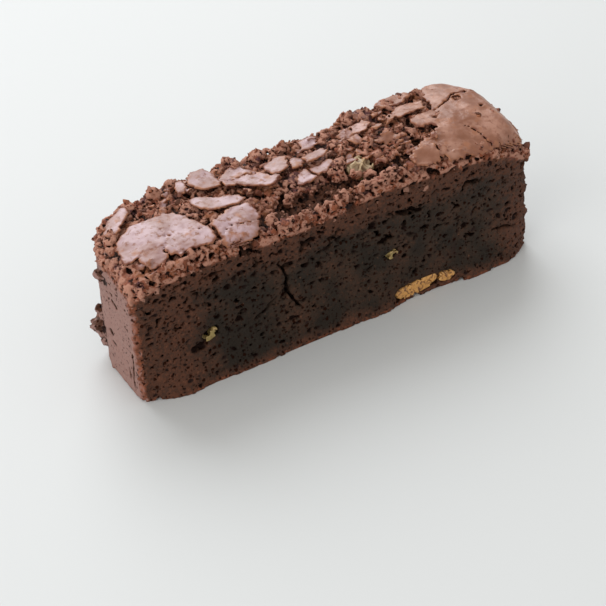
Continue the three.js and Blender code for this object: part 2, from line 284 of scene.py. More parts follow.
# %% Lumps
# Lumps on the top: x, y and radius. Their height is counted from the crust level.
TOP_LUMPS = [
    (39.6, 25.4, 3.1),
    (46.6, 25.4, 2.2),
    (53.4, 25.2, 1.9),
    (71.4, 25.4, 3.3),
    (75.4, 24.8, 2.9),
    (81.4, 24.6, 2.6),
    (86, 25.4, 2.4),
    (90.4, 24.8, 1.8),
    (64.6, 16.4, 2),
    (69.4, 13.6, 2.1),
    (58.6, 9, 1.9),
    (69.6, 8.6, 1.4),
    (64, 15, 1.7),
    (19, 25.2, 2.4),
    (23.4, 25.8, 1.9),
    (12.4, 24, 2.2),
    (4.4, 17.4, 2.2),
    (60.6, 11.4, 1.6),
    (38.4, 3.4, 1.7),
    (62.2, 6.6, 1.4),
    (64.8, 5, 1.4),
    (67.4, 7, 1.5),
    (67, 10.8, 1.3),
]
# The front rim stands up in crumbs, except where a plate reaches it: start and end along the bar.
RIM_RUNS = [(7, 23.4), (36.6, 75)]
RIM_STEP = (1.3, 2.3)
RIM_FROM_WALL = (0.9, 1.7)
RIM_RADIUS = (0.9, 1.45)
RIM_SEED = 3
rim_chance = np.random.default_rng(RIM_SEED)
for start, end in RIM_RUNS:
    x = start
    while x < end:
        from_wall = rim_chance.uniform(*RIM_FROM_WALL)
        TOP_LUMPS.append((x, from_wall, rim_chance.uniform(*RIM_RADIUS)))
        x += rim_chance.uniform(*RIM_STEP)
# Holes in the broken top, under the edges of the plates and in the valley: x, y and radius.
TOP_PITS = [
    (12.6, 4.6, 1.3),
    (14.6, 4.3, 1.4),
    (16.8, 3.9, 1.5),
    (19, 3.5, 1.5),
    (21.2, 3.1, 1.5),
    (23.2, 3, 1.4),
    (36.2, 16.6, 0.9),
    (37.8, 15.2, 1),
    (39.4, 13.6, 1),
    (41, 12.6, 0.9),
    (44.4, 10, 1.5),
    (43.2, 8, 1.5),
    (39.2, 5.4, 1.5),
    (41.2, 5.6, 1.2),
    (48.8, 7.8, 1.6),
    (50.2, 6.2, 1.5),
    (52.4, 5, 1.4),
    (55.4, 3.9, 1.2),
    (57.6, 3, 1.2),
    (60.6, 4.2, 1.2),
    (66.4, 3.9, 1),
    (70.6, 3.9, 1.2),
    (73, 6.4, 1.4),
    (80, 9.2, 1.5),
    (83.6, 8.4, 0.9),
]
# Lumps on the end walls: x, y, z and radius.
WALL_LUMPS = [
    (1.2, 21, 8.4, 2.8),
    (1.7, 20.6, 4.4, 1.7),
    (1.4, 20.6, 12.8, 1.5),
    (0.8, 15.6, 27.6, 2),
    (0.9, 12.2, 30, 1.7),
    (1.1, 17.4, 23.6, 1.5),
    (LENGTH - 0.8, 2, 26.4, 2.1),
    (LENGTH - 0.6, 5.6, 27.8, 1.8),
]


# A lump sits half its radius below the crust level, and a hole's middle lies this far below it.
LUMP_SINK = 0.5
PIT_DEPTH = 1.8


def helper_object(name, points, faces=(), radii=()):
    """A mesh in bar millimetres that only a node tree reads, with a radius kept at each point."""
    mesh = bpy.data.meshes.new(name)
    mesh.from_pydata(points, [], faces)
    mesh.attributes.new("radius", "FLOAT", "POINT").data.foreach_set("value", list(radii))
    return bpy.data.objects.new(name, mesh)


top_lumps = helper_object(
    "top lumps", [(x, y, -LUMP_SINK * r) for x, y, r in TOP_LUMPS], radii=[r for *_, r in TOP_LUMPS]
)
top_pits = helper_object(
    "top pits", [(x, y, -PIT_DEPTH) for x, y, _ in TOP_PITS], radii=[r for *_, r in TOP_PITS]
)
wall_lumps = helper_object(
    "wall lumps", [(x, y, z) for x, y, z, _ in WALL_LUMPS], radii=[r for *_, r in WALL_LUMPS]
)
print("lumps:", len(TOP_LUMPS) + len(WALL_LUMPS), "holes in the top:", len(TOP_PITS))

# %% Cracks and bubble holes
# Points of each cut on its side, half its width at the mouth, and its depth. The points are (x, z)
# on the front and the back, and (y, z) on the near end.
FRONT_CUTS = [
    ([(37, 24.5), (38.6, 21.5), (39, 19.6), (39.4, 15), (40.8, 12), (42, 10)], 0.42, 3),
    ([(36, 15), (33.4, 13.2), (30, 11.5)], 0.4, 2.4),
    ([(17, 28.4), (20, 29), (23, 28.8)], 0.45, 2.4),
    ([(95, 10), (99, 9.4), (103, 8)], 0.35, 2),
    ([(68.6, 26.4), (71.6, 25.6), (75, 24.7)], 0.9, 3),
    ([(104, 22.4), (107, 22)], 0.7, 2.5),
    ([(104.6, 15.6), (107, 15.8)], 0.5, 2),
    ([(64, 19.3), (66.8, 19.7)], 1.1, 2.5),
    ([(44.2, 27.1), (46.6, 27.4)], 0.8, 2.5),
    ([(14.4, 10), (16.2, 10.3)], 1, 2.6),
    ([(61.8, 24.6), (62.3, 24.6)], 0.9, 2),
    ([(51.2, 26), (52, 26)], 0.7, 2),
    ([(49.8, 23.5), (50.3, 23.4)], 0.8, 2),
    ([(75.8, 19), (76.6, 18.9)], 0.7, 2),
    ([(37.8, 15), (38.5, 15.3)], 0.7, 2),
    ([(27, 14.8), (27.4, 14.8)], 0.9, 2),
    ([(88, 27), (90.4, 26.6)], 0.6, 2),
    ([(31, 26.6), (33, 27.2)], 0.5, 2),
    ([(27, 32.4), (29.5, 31.6), (32.4, 30)], 0.8, 2.4),
]
BACK_CUTS = [
    ([(88, 24), (86, 20), (86.6, 15), (83, 11)], 0.42, 3),
    ([(60, 27), (54, 26), (50, 27.4)], 0.5, 2.6),
    ([(34, 22.4), (28, 23.4)], 0.8, 2.8),
    ([(20, 12), (24, 10.6), (29, 11)], 0.4, 2.4),
    ([(70, 17), (71.4, 17.2)], 1, 2.4),
    ([(44, 14), (45, 14.4)], 0.8, 2),
]
NEAR_END_CUTS = [
    ([(3.4, 13), (3, 9), (3.8, 5), (3.2, 2)], 0.35, 2),
    ([(5.4, 7), (5, 3.6)], 0.3, 1.6),
    ([(9, 22.6), (10.6, 23)], 0.6, 1.8),
    ([(13, 12), (13.6, 12.2)], 0.5, 1.6),
]
OUTSIDE_REACH = 4.5
INNER_WIDTH_SHARE = 0.45


def cut_sheets(cuts, place):
    """Sheets that run from outside a wall into the cake. place(point, depth) gives bar millimetres."""
    points, faces, radii = [], [], []
    for path, half_width, depth in cuts:
        steps = []
        for (a, b), (c, d) in zip(path, path[1:]):
            count = max(1, round(math.hypot(c - a, d - b)))
            steps += [(a + (c - a) * i / count, b + (d - b) * i / count) for i in range(count)]
        steps.append(path[-1])
        for i, step in enumerate(steps):
            first = len(points)
            taper = 1 if len(steps) < 4 else 0.55 + 0.45 * math.sin(math.pi * i / (len(steps) - 1))
            for inward, share in ((-OUTSIDE_REACH, 1), (0, 1), (depth, INNER_WIDTH_SHARE)):
                points.append(place(step, inward))
                radii.append(half_width * taper * share)
            if i:
                faces += [(k - 3, k - 2, k + 1, k) for k in (first, first + 1)]
    return points, faces, radii


all_points, all_faces, all_radii = [], [], []
for cuts, place in (
    (FRONT_CUTS, lambda at, inward: (at[0], inward, at[1])),
    (BACK_CUTS, lambda at, inward: (at[0], WIDTH - inward, at[1])),
    (NEAR_END_CUTS, lambda at, inward: (inward, at[0], at[1])),
):
    points, faces, radii = cut_sheets(cuts, place)
    all_faces += [tuple(corner + len(all_points) for corner in face) for face in faces]
    all_points += points
    all_radii += radii
cuts_object = helper_object("cracks and holes", all_points, all_faces, all_radii)
print("cuts:", len(FRONT_CUTS + BACK_CUTS + NEAR_END_CUTS), "sheet faces:", len(all_faces))

# %% [markdown]
# ## Where the walnuts are
# Pieces of walnut kernel went into the batter. The knife cut through four of them, so they end flat
# at the front side, and one lies bare on the broken top. A kernel's rule is a blunt ellipsoid with
# furrows. It is a node group too, because the cake leaves a pocket where a nut is.

# %% The walnut form as a node group
# Centre in bar millimetres, half sizes, slope in degrees.
WALNUTS = {
    "walnut_base_long": ((73, 0.2, 2.5), (6.2, 3.6, 1.85), 3),
    "walnut_base_short": ((81.8, -0.4, 2.4), (2.3, 2.6, 1.35), -8),
    "walnut_near_chip": ((18.6, 0.4, 12.5), (2.1, 1.7, 1.15), 22),
    "walnut_middle_chip": ((67.2, -0.2, 14.8), (1.5, 1.5, 1), 30),
    "walnut_top": ((64.6, 8.4, 35.4), (3, 2.5, 2), 15),
}
FURROWS = {"size": 3.4, "depth": 0.5}
BLUNTNESS = 3
KERNEL_UNEVENNESS = 1.2
# Bubbles of batter that ate into the small chips: x, y, z and radius.
CHIP_BUBBLES = [
    (17.6, 1, 12.9, 1.5),
    (16.7, 0.4, 11.5, 0.9),
    (19.9, 0, 12.2, 0.6),
    (67.7, -0.6, 14.3, 0.8),
    (66, -0.9, 14.7, 0.6),
    (82.9, -2.4, 3.2, 0.8),
    (63, 7.4, 37.3, 1.7),
    (64.6, 9.2, 37.9, 1.3),
    (66.9, 7.8, 36.9, 1.3),
    (64.6, 6.4, 36.4, 0.9),
    (66.4, 9.8, 37.4, 1.2),
    (65.6, 6.8, 37, 1.1),
    (63.2, 10.4, 37, 1),
]


def make_kernel_group():
    tree = new_tree(
        "walnut form",
        [
            ("Place", VECTOR, None),
            ("Centre", VECTOR, None),
            ("Half sizes", VECTOR, None),
            ("Slope", FLOAT, 0),
        ],
        [("Inside", FLOAT), ("Pocket", FLOAT)],
    )
    given = add(tree, "NodeGroupInput")
    place, centre, half_sizes, slope = given.outputs[:4]
    turned = add(
        tree,
        "ShaderNodeVectorRotate",
        {"rotation_type": "Y_AXIS"},
        {"Vector": place, "Center": centre, "Angle": slope},
    )
    shift = add(tree, VECTOR_MATH, SUBTRACT, [turned, centre])
    share = add(tree, VECTOR_MATH, DIVIDE, [shift, half_sizes])
    folded = add(tree, VECTOR_MATH, ABSOLUTE, [share])
    power = add(tree, VECTOR_MATH, POWER, [folded, (BLUNTNESS,) * 3])
    total = add(tree, VECTOR_MATH, DOT_PRODUCT, [power, (1, 1, 1)]).outputs["Value"]
    reach = add(tree, MATH, POWER, [total, 1 / BLUNTNESS])
    inside = add(tree, MATH, SUBTRACT, [1, reach])
    thickness = add(tree, "ShaderNodeSeparateXYZ", None, [half_sizes]).outputs["Z"]
    body = add(tree, MATH, MULTIPLY, [inside, thickness])
    folds = add(
        tree, NOISE, None, {"Vector": shift, "Scale": 1 / FURROWS["size"], "Detail": 2, "Distortion": 0.4}
    )
    away = add(tree, MATH, SUBTRACT, [folds, 0.5])
    furrow = add(tree, MATH, ABSOLUTE, [away])
    narrow = add(tree, RANGE, SMOOTH, [furrow, 0, 0.05, FURROWS["depth"], 0])
    inside = add(tree, MATH, SUBTRACT, [body, narrow])
    inside = add(tree, MATH, MULTIPLY_ADD, [away, KERNEL_UNEVENNESS, inside])
    add(tree, "NodeGroupOutput", None, [inside, body])
    return tree


kernel_group = make_kernel_group()
print("walnut pieces:", len(WALNUTS), "form nodes:", len(kernel_group.nodes))


def kernel_at(tree, place, name):
    """How far a place is inside the named walnut."""
    centre, half_sizes, slope = WALNUTS[name]
    return add(
        tree,
        "GeometryNodeGroup",
        {"node_tree": kernel_group},
        [place, centre, half_sizes, math.radians(slope)],
    )


# %% [markdown]
# ## The cake
# A torn crumb has bubbles behind bubbles and lumps that overhang, which no pushed-out surface can
# show. So the cake is made as a density field: a rule that is positive inside the cake and negative
# outside. Volume Cube reads the rule on a fine grid and Volume to Mesh draws the skin where it is
# zero. Voronoi cells give the bubbles, each cell with a bubble of its own size, and they also give
# the rounded clumps of the broken top.

# %% The cake's node tree
# Bubble layers: spacing, smallest and largest bubble radius.
BUBBLES = [(4.8, 0.1, 1.2), (2.1, 0.1, 0.82), (1.15, 0.12, 0.46)]
# The knife drags bubbles open, so they run into the cake, and they are flatter than they are long.
BUBBLE_SQUASH = (0.85, 0.5, 1.35)
# Clump layers of the broken top: size, and how far they stand out.
CLUMPS = [(3.6, 1.5), (1.7, 1), (0.85, 0.6)]
SPIKES = {"size": 4, "height": 4.2}
# Waves of the cut walls: size and height.
WAVES = [(9, 0.9), (2.4, 0.3), (0.9, 0.16)]
# Where the walls are torn: the measure's two ends, and the share of the relief at each.
TORN_BY_CRUST = (0.3, 2.4, 0.6, 0.02)
TORN_BY_CORNER = (0.5, 3, 0.8, 0)
TORN_BY_FOOT = (0.2, 2, 0.3, 0)
# The broken top lies this far below the crust, and deeper in the valley behind the front rim.
CRUMB_DROP = 0.9
VALLEY = {"x": 55, "y": 5, "half length": 24, "half width": 4.6, "depth": 2.2}
# How much of the relief the lumps and the holes of the top carry.
LUMP_RAGGEDNESS = 0.7
PIT_RAGGEDNESS = 0.3
# The broken top is a mesh of its own, down to this depth, and overlaps the cake below it.
BROKEN_DEPTH = 7.2
OVERLAP = 1.3
POCKET_GAP = 0.12
SHAKE_DETAIL = 0.6
SEED_STEP = 23.7
CAKE_VOXEL = 0.37
TOP_VOXEL = 0.3
LOWEST_CRUST = 27.5


def place_in_bar(tree):
    """The point that a field is read at, in bar millimetres."""
    position = add(tree, "GeometryNodeInputPosition")
    moved = add(tree, VECTOR_MATH, SUBTRACT, [position, bar_origin])
    return add(tree, VECTOR_MATH, {"operation": "SCALE"}, {0: moved, "Scale": 1 / MM})


def crust_space(tree, place):
    """The form at a place, and the place with its height counted from the crust level."""
    form = add(tree, "GeometryNodeGroup", {"node_tree": form_group}, [place])
    level = add(tree, "ShaderNodeCombineXYZ", None, [0, 0, form.outputs["Level"]])
    return form, add(tree, VECTOR_MATH, SUBTRACT, [place, level])


def shaken(tree, place, size, height, seed=0, upright=1):
    """The place moved to and fro by noise, which makes an even pattern uneven."""
    elsewhere = add(tree, VECTOR_MATH, ADD, [place, (SEED_STEP * seed,) * 3])
    cloud = add(tree, NOISE, None, {"Vector": elsewhere, "Scale": 1 / size, "Detail": SHAKE_DETAIL})
    offset = add(tree, VECTOR_MATH, SUBTRACT, [cloud.outputs["Color"], (0.5,) * 3])
    strength = (2 * height, 2 * height, 2 * height * upright)
    return add(tree, VECTOR_MATH, MULTIPLY_ADD, [offset, strength, place])


def distance_to(tree, thing, place, element):
    """How far a place lies inside a helper mesh's skin: its radius minus the distance to it."""
    info = add(tree, "GeometryNodeObjectInfo", None, {"Object": thing})
    mesh = info.outputs["Geometry"]
    target = {"target_element": element}
    near = add(tree, "GeometryNodeProximity", target, {0: mesh, "Sample Position": place})
    index = add(tree, "GeometryNodeSampleNearest", None, {0: mesh, "Sample Position": place})
    stored = add(tree, "GeometryNodeInputNamedAttribute", None, {"Name": "radius"})
    radius = add(tree, "GeometryNodeSampleIndex", None, {0: mesh, "Value": stored, "Index": index})
    return add(tree, MATH, SUBTRACT, [radius, near.outputs["Distance"]])


def skin_of(tree, density, voxel, low, high):
    """Reads a density on a grid and draws its smooth skin where it is zero."""
    counts = [add(tree, MATH, DIVIDE, [side / MM, voxel]) for side in high - low]
    block = add(
        tree,
        "GeometryNodeVolumeCube",
        None,
        {
            "Density": density,
            "Background": -1,
            "Min": low,
            "Max": high,
            "Resolution X": counts[0],
            "Resolution Y": counts[1],
            "Resolution Z": counts[2],
        },
    )
    skin = add(tree, "GeometryNodeVolumeToMesh", None, {"Volume": block, "Threshold": 0})
    return add(tree, "GeometryNodeSetShadeSmooth", None, {"Geometry": skin, "Shade Smooth": True})


def largest_island(tree, skin):
    """Drops the islands of a skin that are smaller than its largest one."""
    island = add(tree, "GeometryNodeInputMeshIsland").outputs["Island Index"]
    count = add(tree, "GeometryNodeAccumulateField", {"data_type": "INT"}, {"Value": 1, "Group ID": island})
    total = count.outputs["Total"]
    most = add(tree, "GeometryNodeAttributeStatistic", None, {"Geometry": skin, "Attribute": total})
    small = add(tree, "FunctionNodeCompare", {"operation": "LESS_THAN"}, [total, most.outputs["Max"]])
    return add(tree, "GeometryNodeDeleteGeometry", None, {"Geometry": skin, "Selection": small})


def make_crumb_tree(name, is_top):
    """The cake's rule, read for the broken top or for everything below it."""
    tree = new_tree(
        name,
        [("Voxel mm", FLOAT, 1.0), ("Bubble size", FLOAT, 1.0), ("Clump height", FLOAT, 1.0)],
        [("Geometry", GEOMETRY)],
    )
    sizes = add(tree, "NodeGroupInput")
    place = place_in_bar(tree)
    form, _ = crust_space(tree, place)
    split = add(tree, "ShaderNodeSeparateXYZ", None, [place])
    z = split.outputs["Z"]
    height = add(tree, MATH, SUBTRACT, [form.outputs["Level"], z])

    # Relief of broken crumb: clumps in three sizes, and spikes between them.
    rough = shaken(tree, shaken(tree, place, 2.4, 0.9), 0.8, 0.45)
    spikes = add(
        tree, NOISE, None, {"Vector": rough, "Scale": 1 / SPIKES["size"], "Detail": 5, "Roughness": 0.72}
    )
    relief = add(tree, MATH, SUBTRACT, [spikes, 0.5])
    relief = add(tree, MATH, MULTIPLY, [relief, SPIKES["height"]])
    for size, reach_out in CLUMPS:
        cell = add(tree, CELLS, None, {"Vector": rough, "Scale": 1 / size})
        clump = add(tree, MATH, SUBTRACT, [0.55, cell.outputs["Distance"]])
        relief = add(tree, MATH, MULTIPLY_ADD, [clump, reach_out, relief])
    relief = add(tree, MATH, MULTIPLY, [relief, sizes.outputs["Clump height"]])

    # Cut walls with slow waves and a torn grain, which tears more near the crust.
    wall = form.outputs["Wall"]
    for size, wave_height in WAVES:
        wave = add(tree, NOISE, None, {"Vector": place, "Scale": 1 / size, "Detail": 1})
        lifted = add(tree, MATH, SUBTRACT, [wave, 0.5])
        wall = add(tree, MATH, MULTIPLY_ADD, [lifted, wave_height, wall])
    torn = add(tree, RANGE, SMOOTH, [height, *TORN_BY_CRUST])
    from_middle = add(tree, MATH, SUBTRACT, [split.outputs["X"], LENGTH / 2])
    from_middle = add(tree, MATH, ABSOLUTE, [from_middle])
    from_end = add(tree, MATH, SUBTRACT, [LENGTH / 2, from_middle])
    corner = add(tree, "ShaderNodeCombineXYZ", None, [from_end, split.outputs["Y"], 0])
    from_corner = add(tree, VECTOR_MATH, DISTANCE, [corner]).outputs["Value"]
    chipped = add(tree, RANGE, SMOOTH, [from_corner, *TORN_BY_CORNER])
    torn = add(tree, MATH, MAXIMUM, [torn, chipped])
    foot = add(tree, RANGE, SMOOTH, [z, *TORN_BY_FOOT])
    torn = add(tree, MATH, MAXIMUM, [torn, foot])
    wall = add(tree, MATH, MULTIPLY_ADD, [relief, torn, wall])

    # Broken top: lower than the crust, with a valley, and lumps and holes with a place of their own.
    shift = add(tree, VECTOR_MATH, SUBTRACT, [place, (VALLEY["x"], VALLEY["y"], 0)])
    shares = (1 / VALLEY["half length"], 1 / VALLEY["half width"], 0)
    scaled = add(tree, VECTOR_MATH, MULTIPLY, [shift, shares])
    reach = add(tree, VECTOR_MATH, DISTANCE, [scaled]).outputs["Value"]
    drops = [reach, 0.45, 1.15, CRUMB_DROP + VALLEY["depth"], CRUMB_DROP]
    drop = add(tree, RANGE, SMOOTH, drops)
    top = add(tree, MATH, SUBTRACT, [height, drop])
    top = add(tree, MATH, ADD, [top, relief])
    cake = add(tree, MATH, SMOOTH_MIN, [wall, top, 0.9])
    level = add(tree, "ShaderNodeCombineXYZ", None, [0, 0, form.outputs["Level"]])
    flattened = add(tree, VECTOR_MATH, SUBTRACT, [rough, level])
    for thing, at in ((top_lumps, flattened), (wall_lumps, rough)):
        lump = distance_to(tree, thing, at, "POINTS")
        lump = add(tree, MATH, MULTIPLY_ADD, [relief, LUMP_RAGGEDNESS, lump])
        cake = add(tree, MATH, SMOOTH_MAX, [cake, lump, 0.4])
    pit = distance_to(tree, top_pits, flattened, "POINTS")
    solid = add(tree, MATH, MULTIPLY, [pit, -1])
    solid = add(tree, MATH, MULTIPLY_ADD, [relief, PIT_RAGGEDNESS, solid])
    cake = add(tree, MATH, SMOOTH_MIN, [cake, solid, 0.4])

    # Bubbles: small near the base and on the near end, where the crumb is dense.
    by_height = add(tree, RANGE, None, [z, 2, 30, 0.85, 1.2])
    by_end = add(tree, RANGE, None, [split.outputs["X"], 1, 3, 0.55, 1])
    airy = add(tree, MATH, MULTIPLY, [by_height, by_end])
    airy = add(tree, MATH, MULTIPLY, [airy, sizes.outputs["Bubble size"]])
    uneven = shaken(tree, shaken(tree, place, 1.5, 0.5), 0.7, 0.15)
    squashed = add(tree, VECTOR_MATH, MULTIPLY, [uneven, BUBBLE_SQUASH])
    for number, (spacing, smallest, largest) in enumerate(BUBBLES):
        moved = add(tree, VECTOR_MATH, ADD, [squashed, (11.3 * number,) * 3])
        cell = add(tree, CELLS, None, {"Vector": moved, "Scale": 1 / spacing})
        chance = add(tree, "ShaderNodeSeparateXYZ", None, [cell.outputs["Color"]]).outputs["X"]
        chance = add(tree, MATH, POWER, [chance, 1.5])
        radius = add(tree, RANGE, None, [chance, 0, 1, smallest, largest])
        radius = add(tree, MATH, MULTIPLY, [radius, airy])
        gap = add(tree, MATH, MULTIPLY, [cell.outputs["Distance"], spacing])
        bubble = add(tree, MATH, SUBTRACT, [gap, radius])
        cake = add(tree, MATH, SMOOTH_MIN, [cake, bubble, 0.06])

    # Cracks and larger holes.
    cut = distance_to(tree, cuts_object, shaken(tree, place, 1.8, 0.7, 3), "FACES")
    solid = add(tree, MATH, MULTIPLY, [cut, -1])
    cake = add(tree, MATH, SMOOTH_MIN, [cake, solid, 0.3])
    for name in WALNUTS:
        kernel = kernel_at(tree, place, name)
        pocket = add(tree, MATH, SUBTRACT, [-POCKET_GAP, kernel.outputs["Pocket"]])
        cake = add(tree, MATH, SMOOTH_MIN, [cake, pocket, 0.15])
    cake = add(tree, MATH, MINIMUM, [cake, z])

    # The broken top and the rest meet a few millimetres below the crust, with a small overlap.
    margin = Vector((2, 2, 1)) * MM
    low, high = brownie_low - margin, brownie_high + margin
    if is_top:
        part = add(tree, MATH, SUBTRACT, [BROKEN_DEPTH + OVERLAP, height])
        low.z = (LOWEST_CRUST - BROKEN_DEPTH - OVERLAP) * MM
    else:
        part = add(tree, MATH, SUBTRACT, [height, BROKEN_DEPTH])
        high.z -= (BROKEN_DEPTH - 1) * MM
    cake = add(tree, MATH, SMOOTH_MIN, [cake, part, 0.08 if is_top else 0.8])
    skin = skin_of(tree, cake, sizes.outputs["Voxel mm"], low, high)
    one = largest_island(tree, skin)
    add(tree, "NodeGroupOutput", None, [add(tree, "GeometryNodeRealizeInstances", None, [one])])
    return tree


# %% [markdown]
# ## From tree to plain mesh
# A modifier is only a recipe. The evaluated result is copied to a plain mesh with new_from_object,
# and the modifier goes. Decimate thins the cake where it is flat, which keeps the fine bubbles and
# still leaves a mesh of a size that other programs can open.

# %% Growing a mesh from a tree
MOST_TRIANGLES = 195_000


def evaluated_mesh(thing):
    graph = bpy.context.evaluated_depsgraph_get()
    return bpy.data.meshes.new_from_object(thing.evaluated_get(graph))


def triangle_count(mesh):
    return sum(len(face.vertices) - 2 for face in mesh.polygons)


def grow(name, tree, start=None, most=MOST_TRIANGLES, **sizes):
    """Runs a tree on a start mesh and returns a new object with the plain, thinned result."""
    grown = bpy.data.objects.new(name, start or bpy.data.meshes.new(name))
    bpy.context.scene.collection.objects.link(grown)
    modifier = grown.modifiers.new(tree.name, "NODES")
    modifier.node_group = tree
    for item in tree.interface.items_tree:
        if item.in_out == "INPUT" and item.name in sizes:
            modifier[item.identifier] = sizes[item.name]
    result = evaluated_mesh(grown)
    grown.modifiers.clear()
    grown.data = result
    triangles = triangle_count(result)
    if triangles > most:
        grown.modifiers.new("thin", "DECIMATE").ratio = most / triangles
        grown.data = evaluated_mesh(grown)
        grown.modifiers.clear()
    print(f"{name}: {triangles} triangles grown, {triangle_count(grown.data)} kept")
    return grown


# %% The cake and its broken top
cake = grow("cake", make_crumb_tree("porous crumb", False), **{"Voxel mm": CAKE_VOXEL})
broken_top = grow("broken_top", make_crumb_tree("broken crumb", True), **{"Voxel mm": TOP_VOXEL})

# %% The walnut pieces
KERNEL_VOXEL = 0.2
KERNEL_TRIANGLES = 30_000
# A knife cut leaves a nut a hair proud of the soft crumb.
PROUD = 0.15
chip_bubbles = helper_object(
    "chip bubbles", [(x, y, z) for x, y, z, _ in CHIP_BUBBLES], radii=[r for *_, r in CHIP_BUBBLES]
)


def make_kernel_tree(name):
    tree = new_tree(name, [("Voxel mm", FLOAT, 1.0)], [("Geometry", GEOMETRY)])
    sizes = add(tree, "NodeGroupInput")
    place = place_in_bar(tree)
    form, _ = crust_space(tree, place)
    kernel = kernel_at(tree, place, name).outputs["Inside"]
    if name != "walnut_top":
        cut = add(tree, MATH, ADD, [form.outputs["Wall"], PROUD])
        kernel = add(tree, MATH, SMOOTH_MIN, [kernel, cut, 0.25])
    bubble = distance_to(tree, chip_bubbles, place, "POINTS")
    bubble = add(tree, MATH, MULTIPLY, [bubble, -1])
    kernel = add(tree, MATH, SMOOTH_MIN, [kernel, bubble, 0.2])
    z = add(tree, "ShaderNodeSeparateXYZ", None, [place]).outputs["Z"]
    kernel = add(tree, MATH, MINIMUM, [kernel, z])
    low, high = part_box(name)
    margin = Vector((1, 1, 1)) * MM
    skin = skin_of(tree, kernel, sizes.outputs["Voxel mm"], low - margin, high + margin)
    one = largest_island(tree, skin)
    add(tree, "NodeGroupOutput", None, [add(tree, "GeometryNodeRealizeInstances", None, [one])])
    return tree


kernels = {
    name: grow(name + "_kernel", make_kernel_tree(name), most=KERNEL_TRIANGLES, **{"Voxel mm": KERNEL_VOXEL})
    for name in WALNUTS
}

# %% [markdown]
# ## The crust plates
# The papery crust is drawn as a few flat polygons, one for each plate, in "crust space": x and y in
# the bar's frame and a height counted from the crust level. Geometry Proximity gives the distance
# to the polygons, so half the crust's thickness minus that distance is again a density field: a
# sheet of even thickness. Shaking the place with noise before measuring makes the sheet wavy and
# its broken edges ragged, and vertical cuts through it make the hairline cracks and the pinholes.

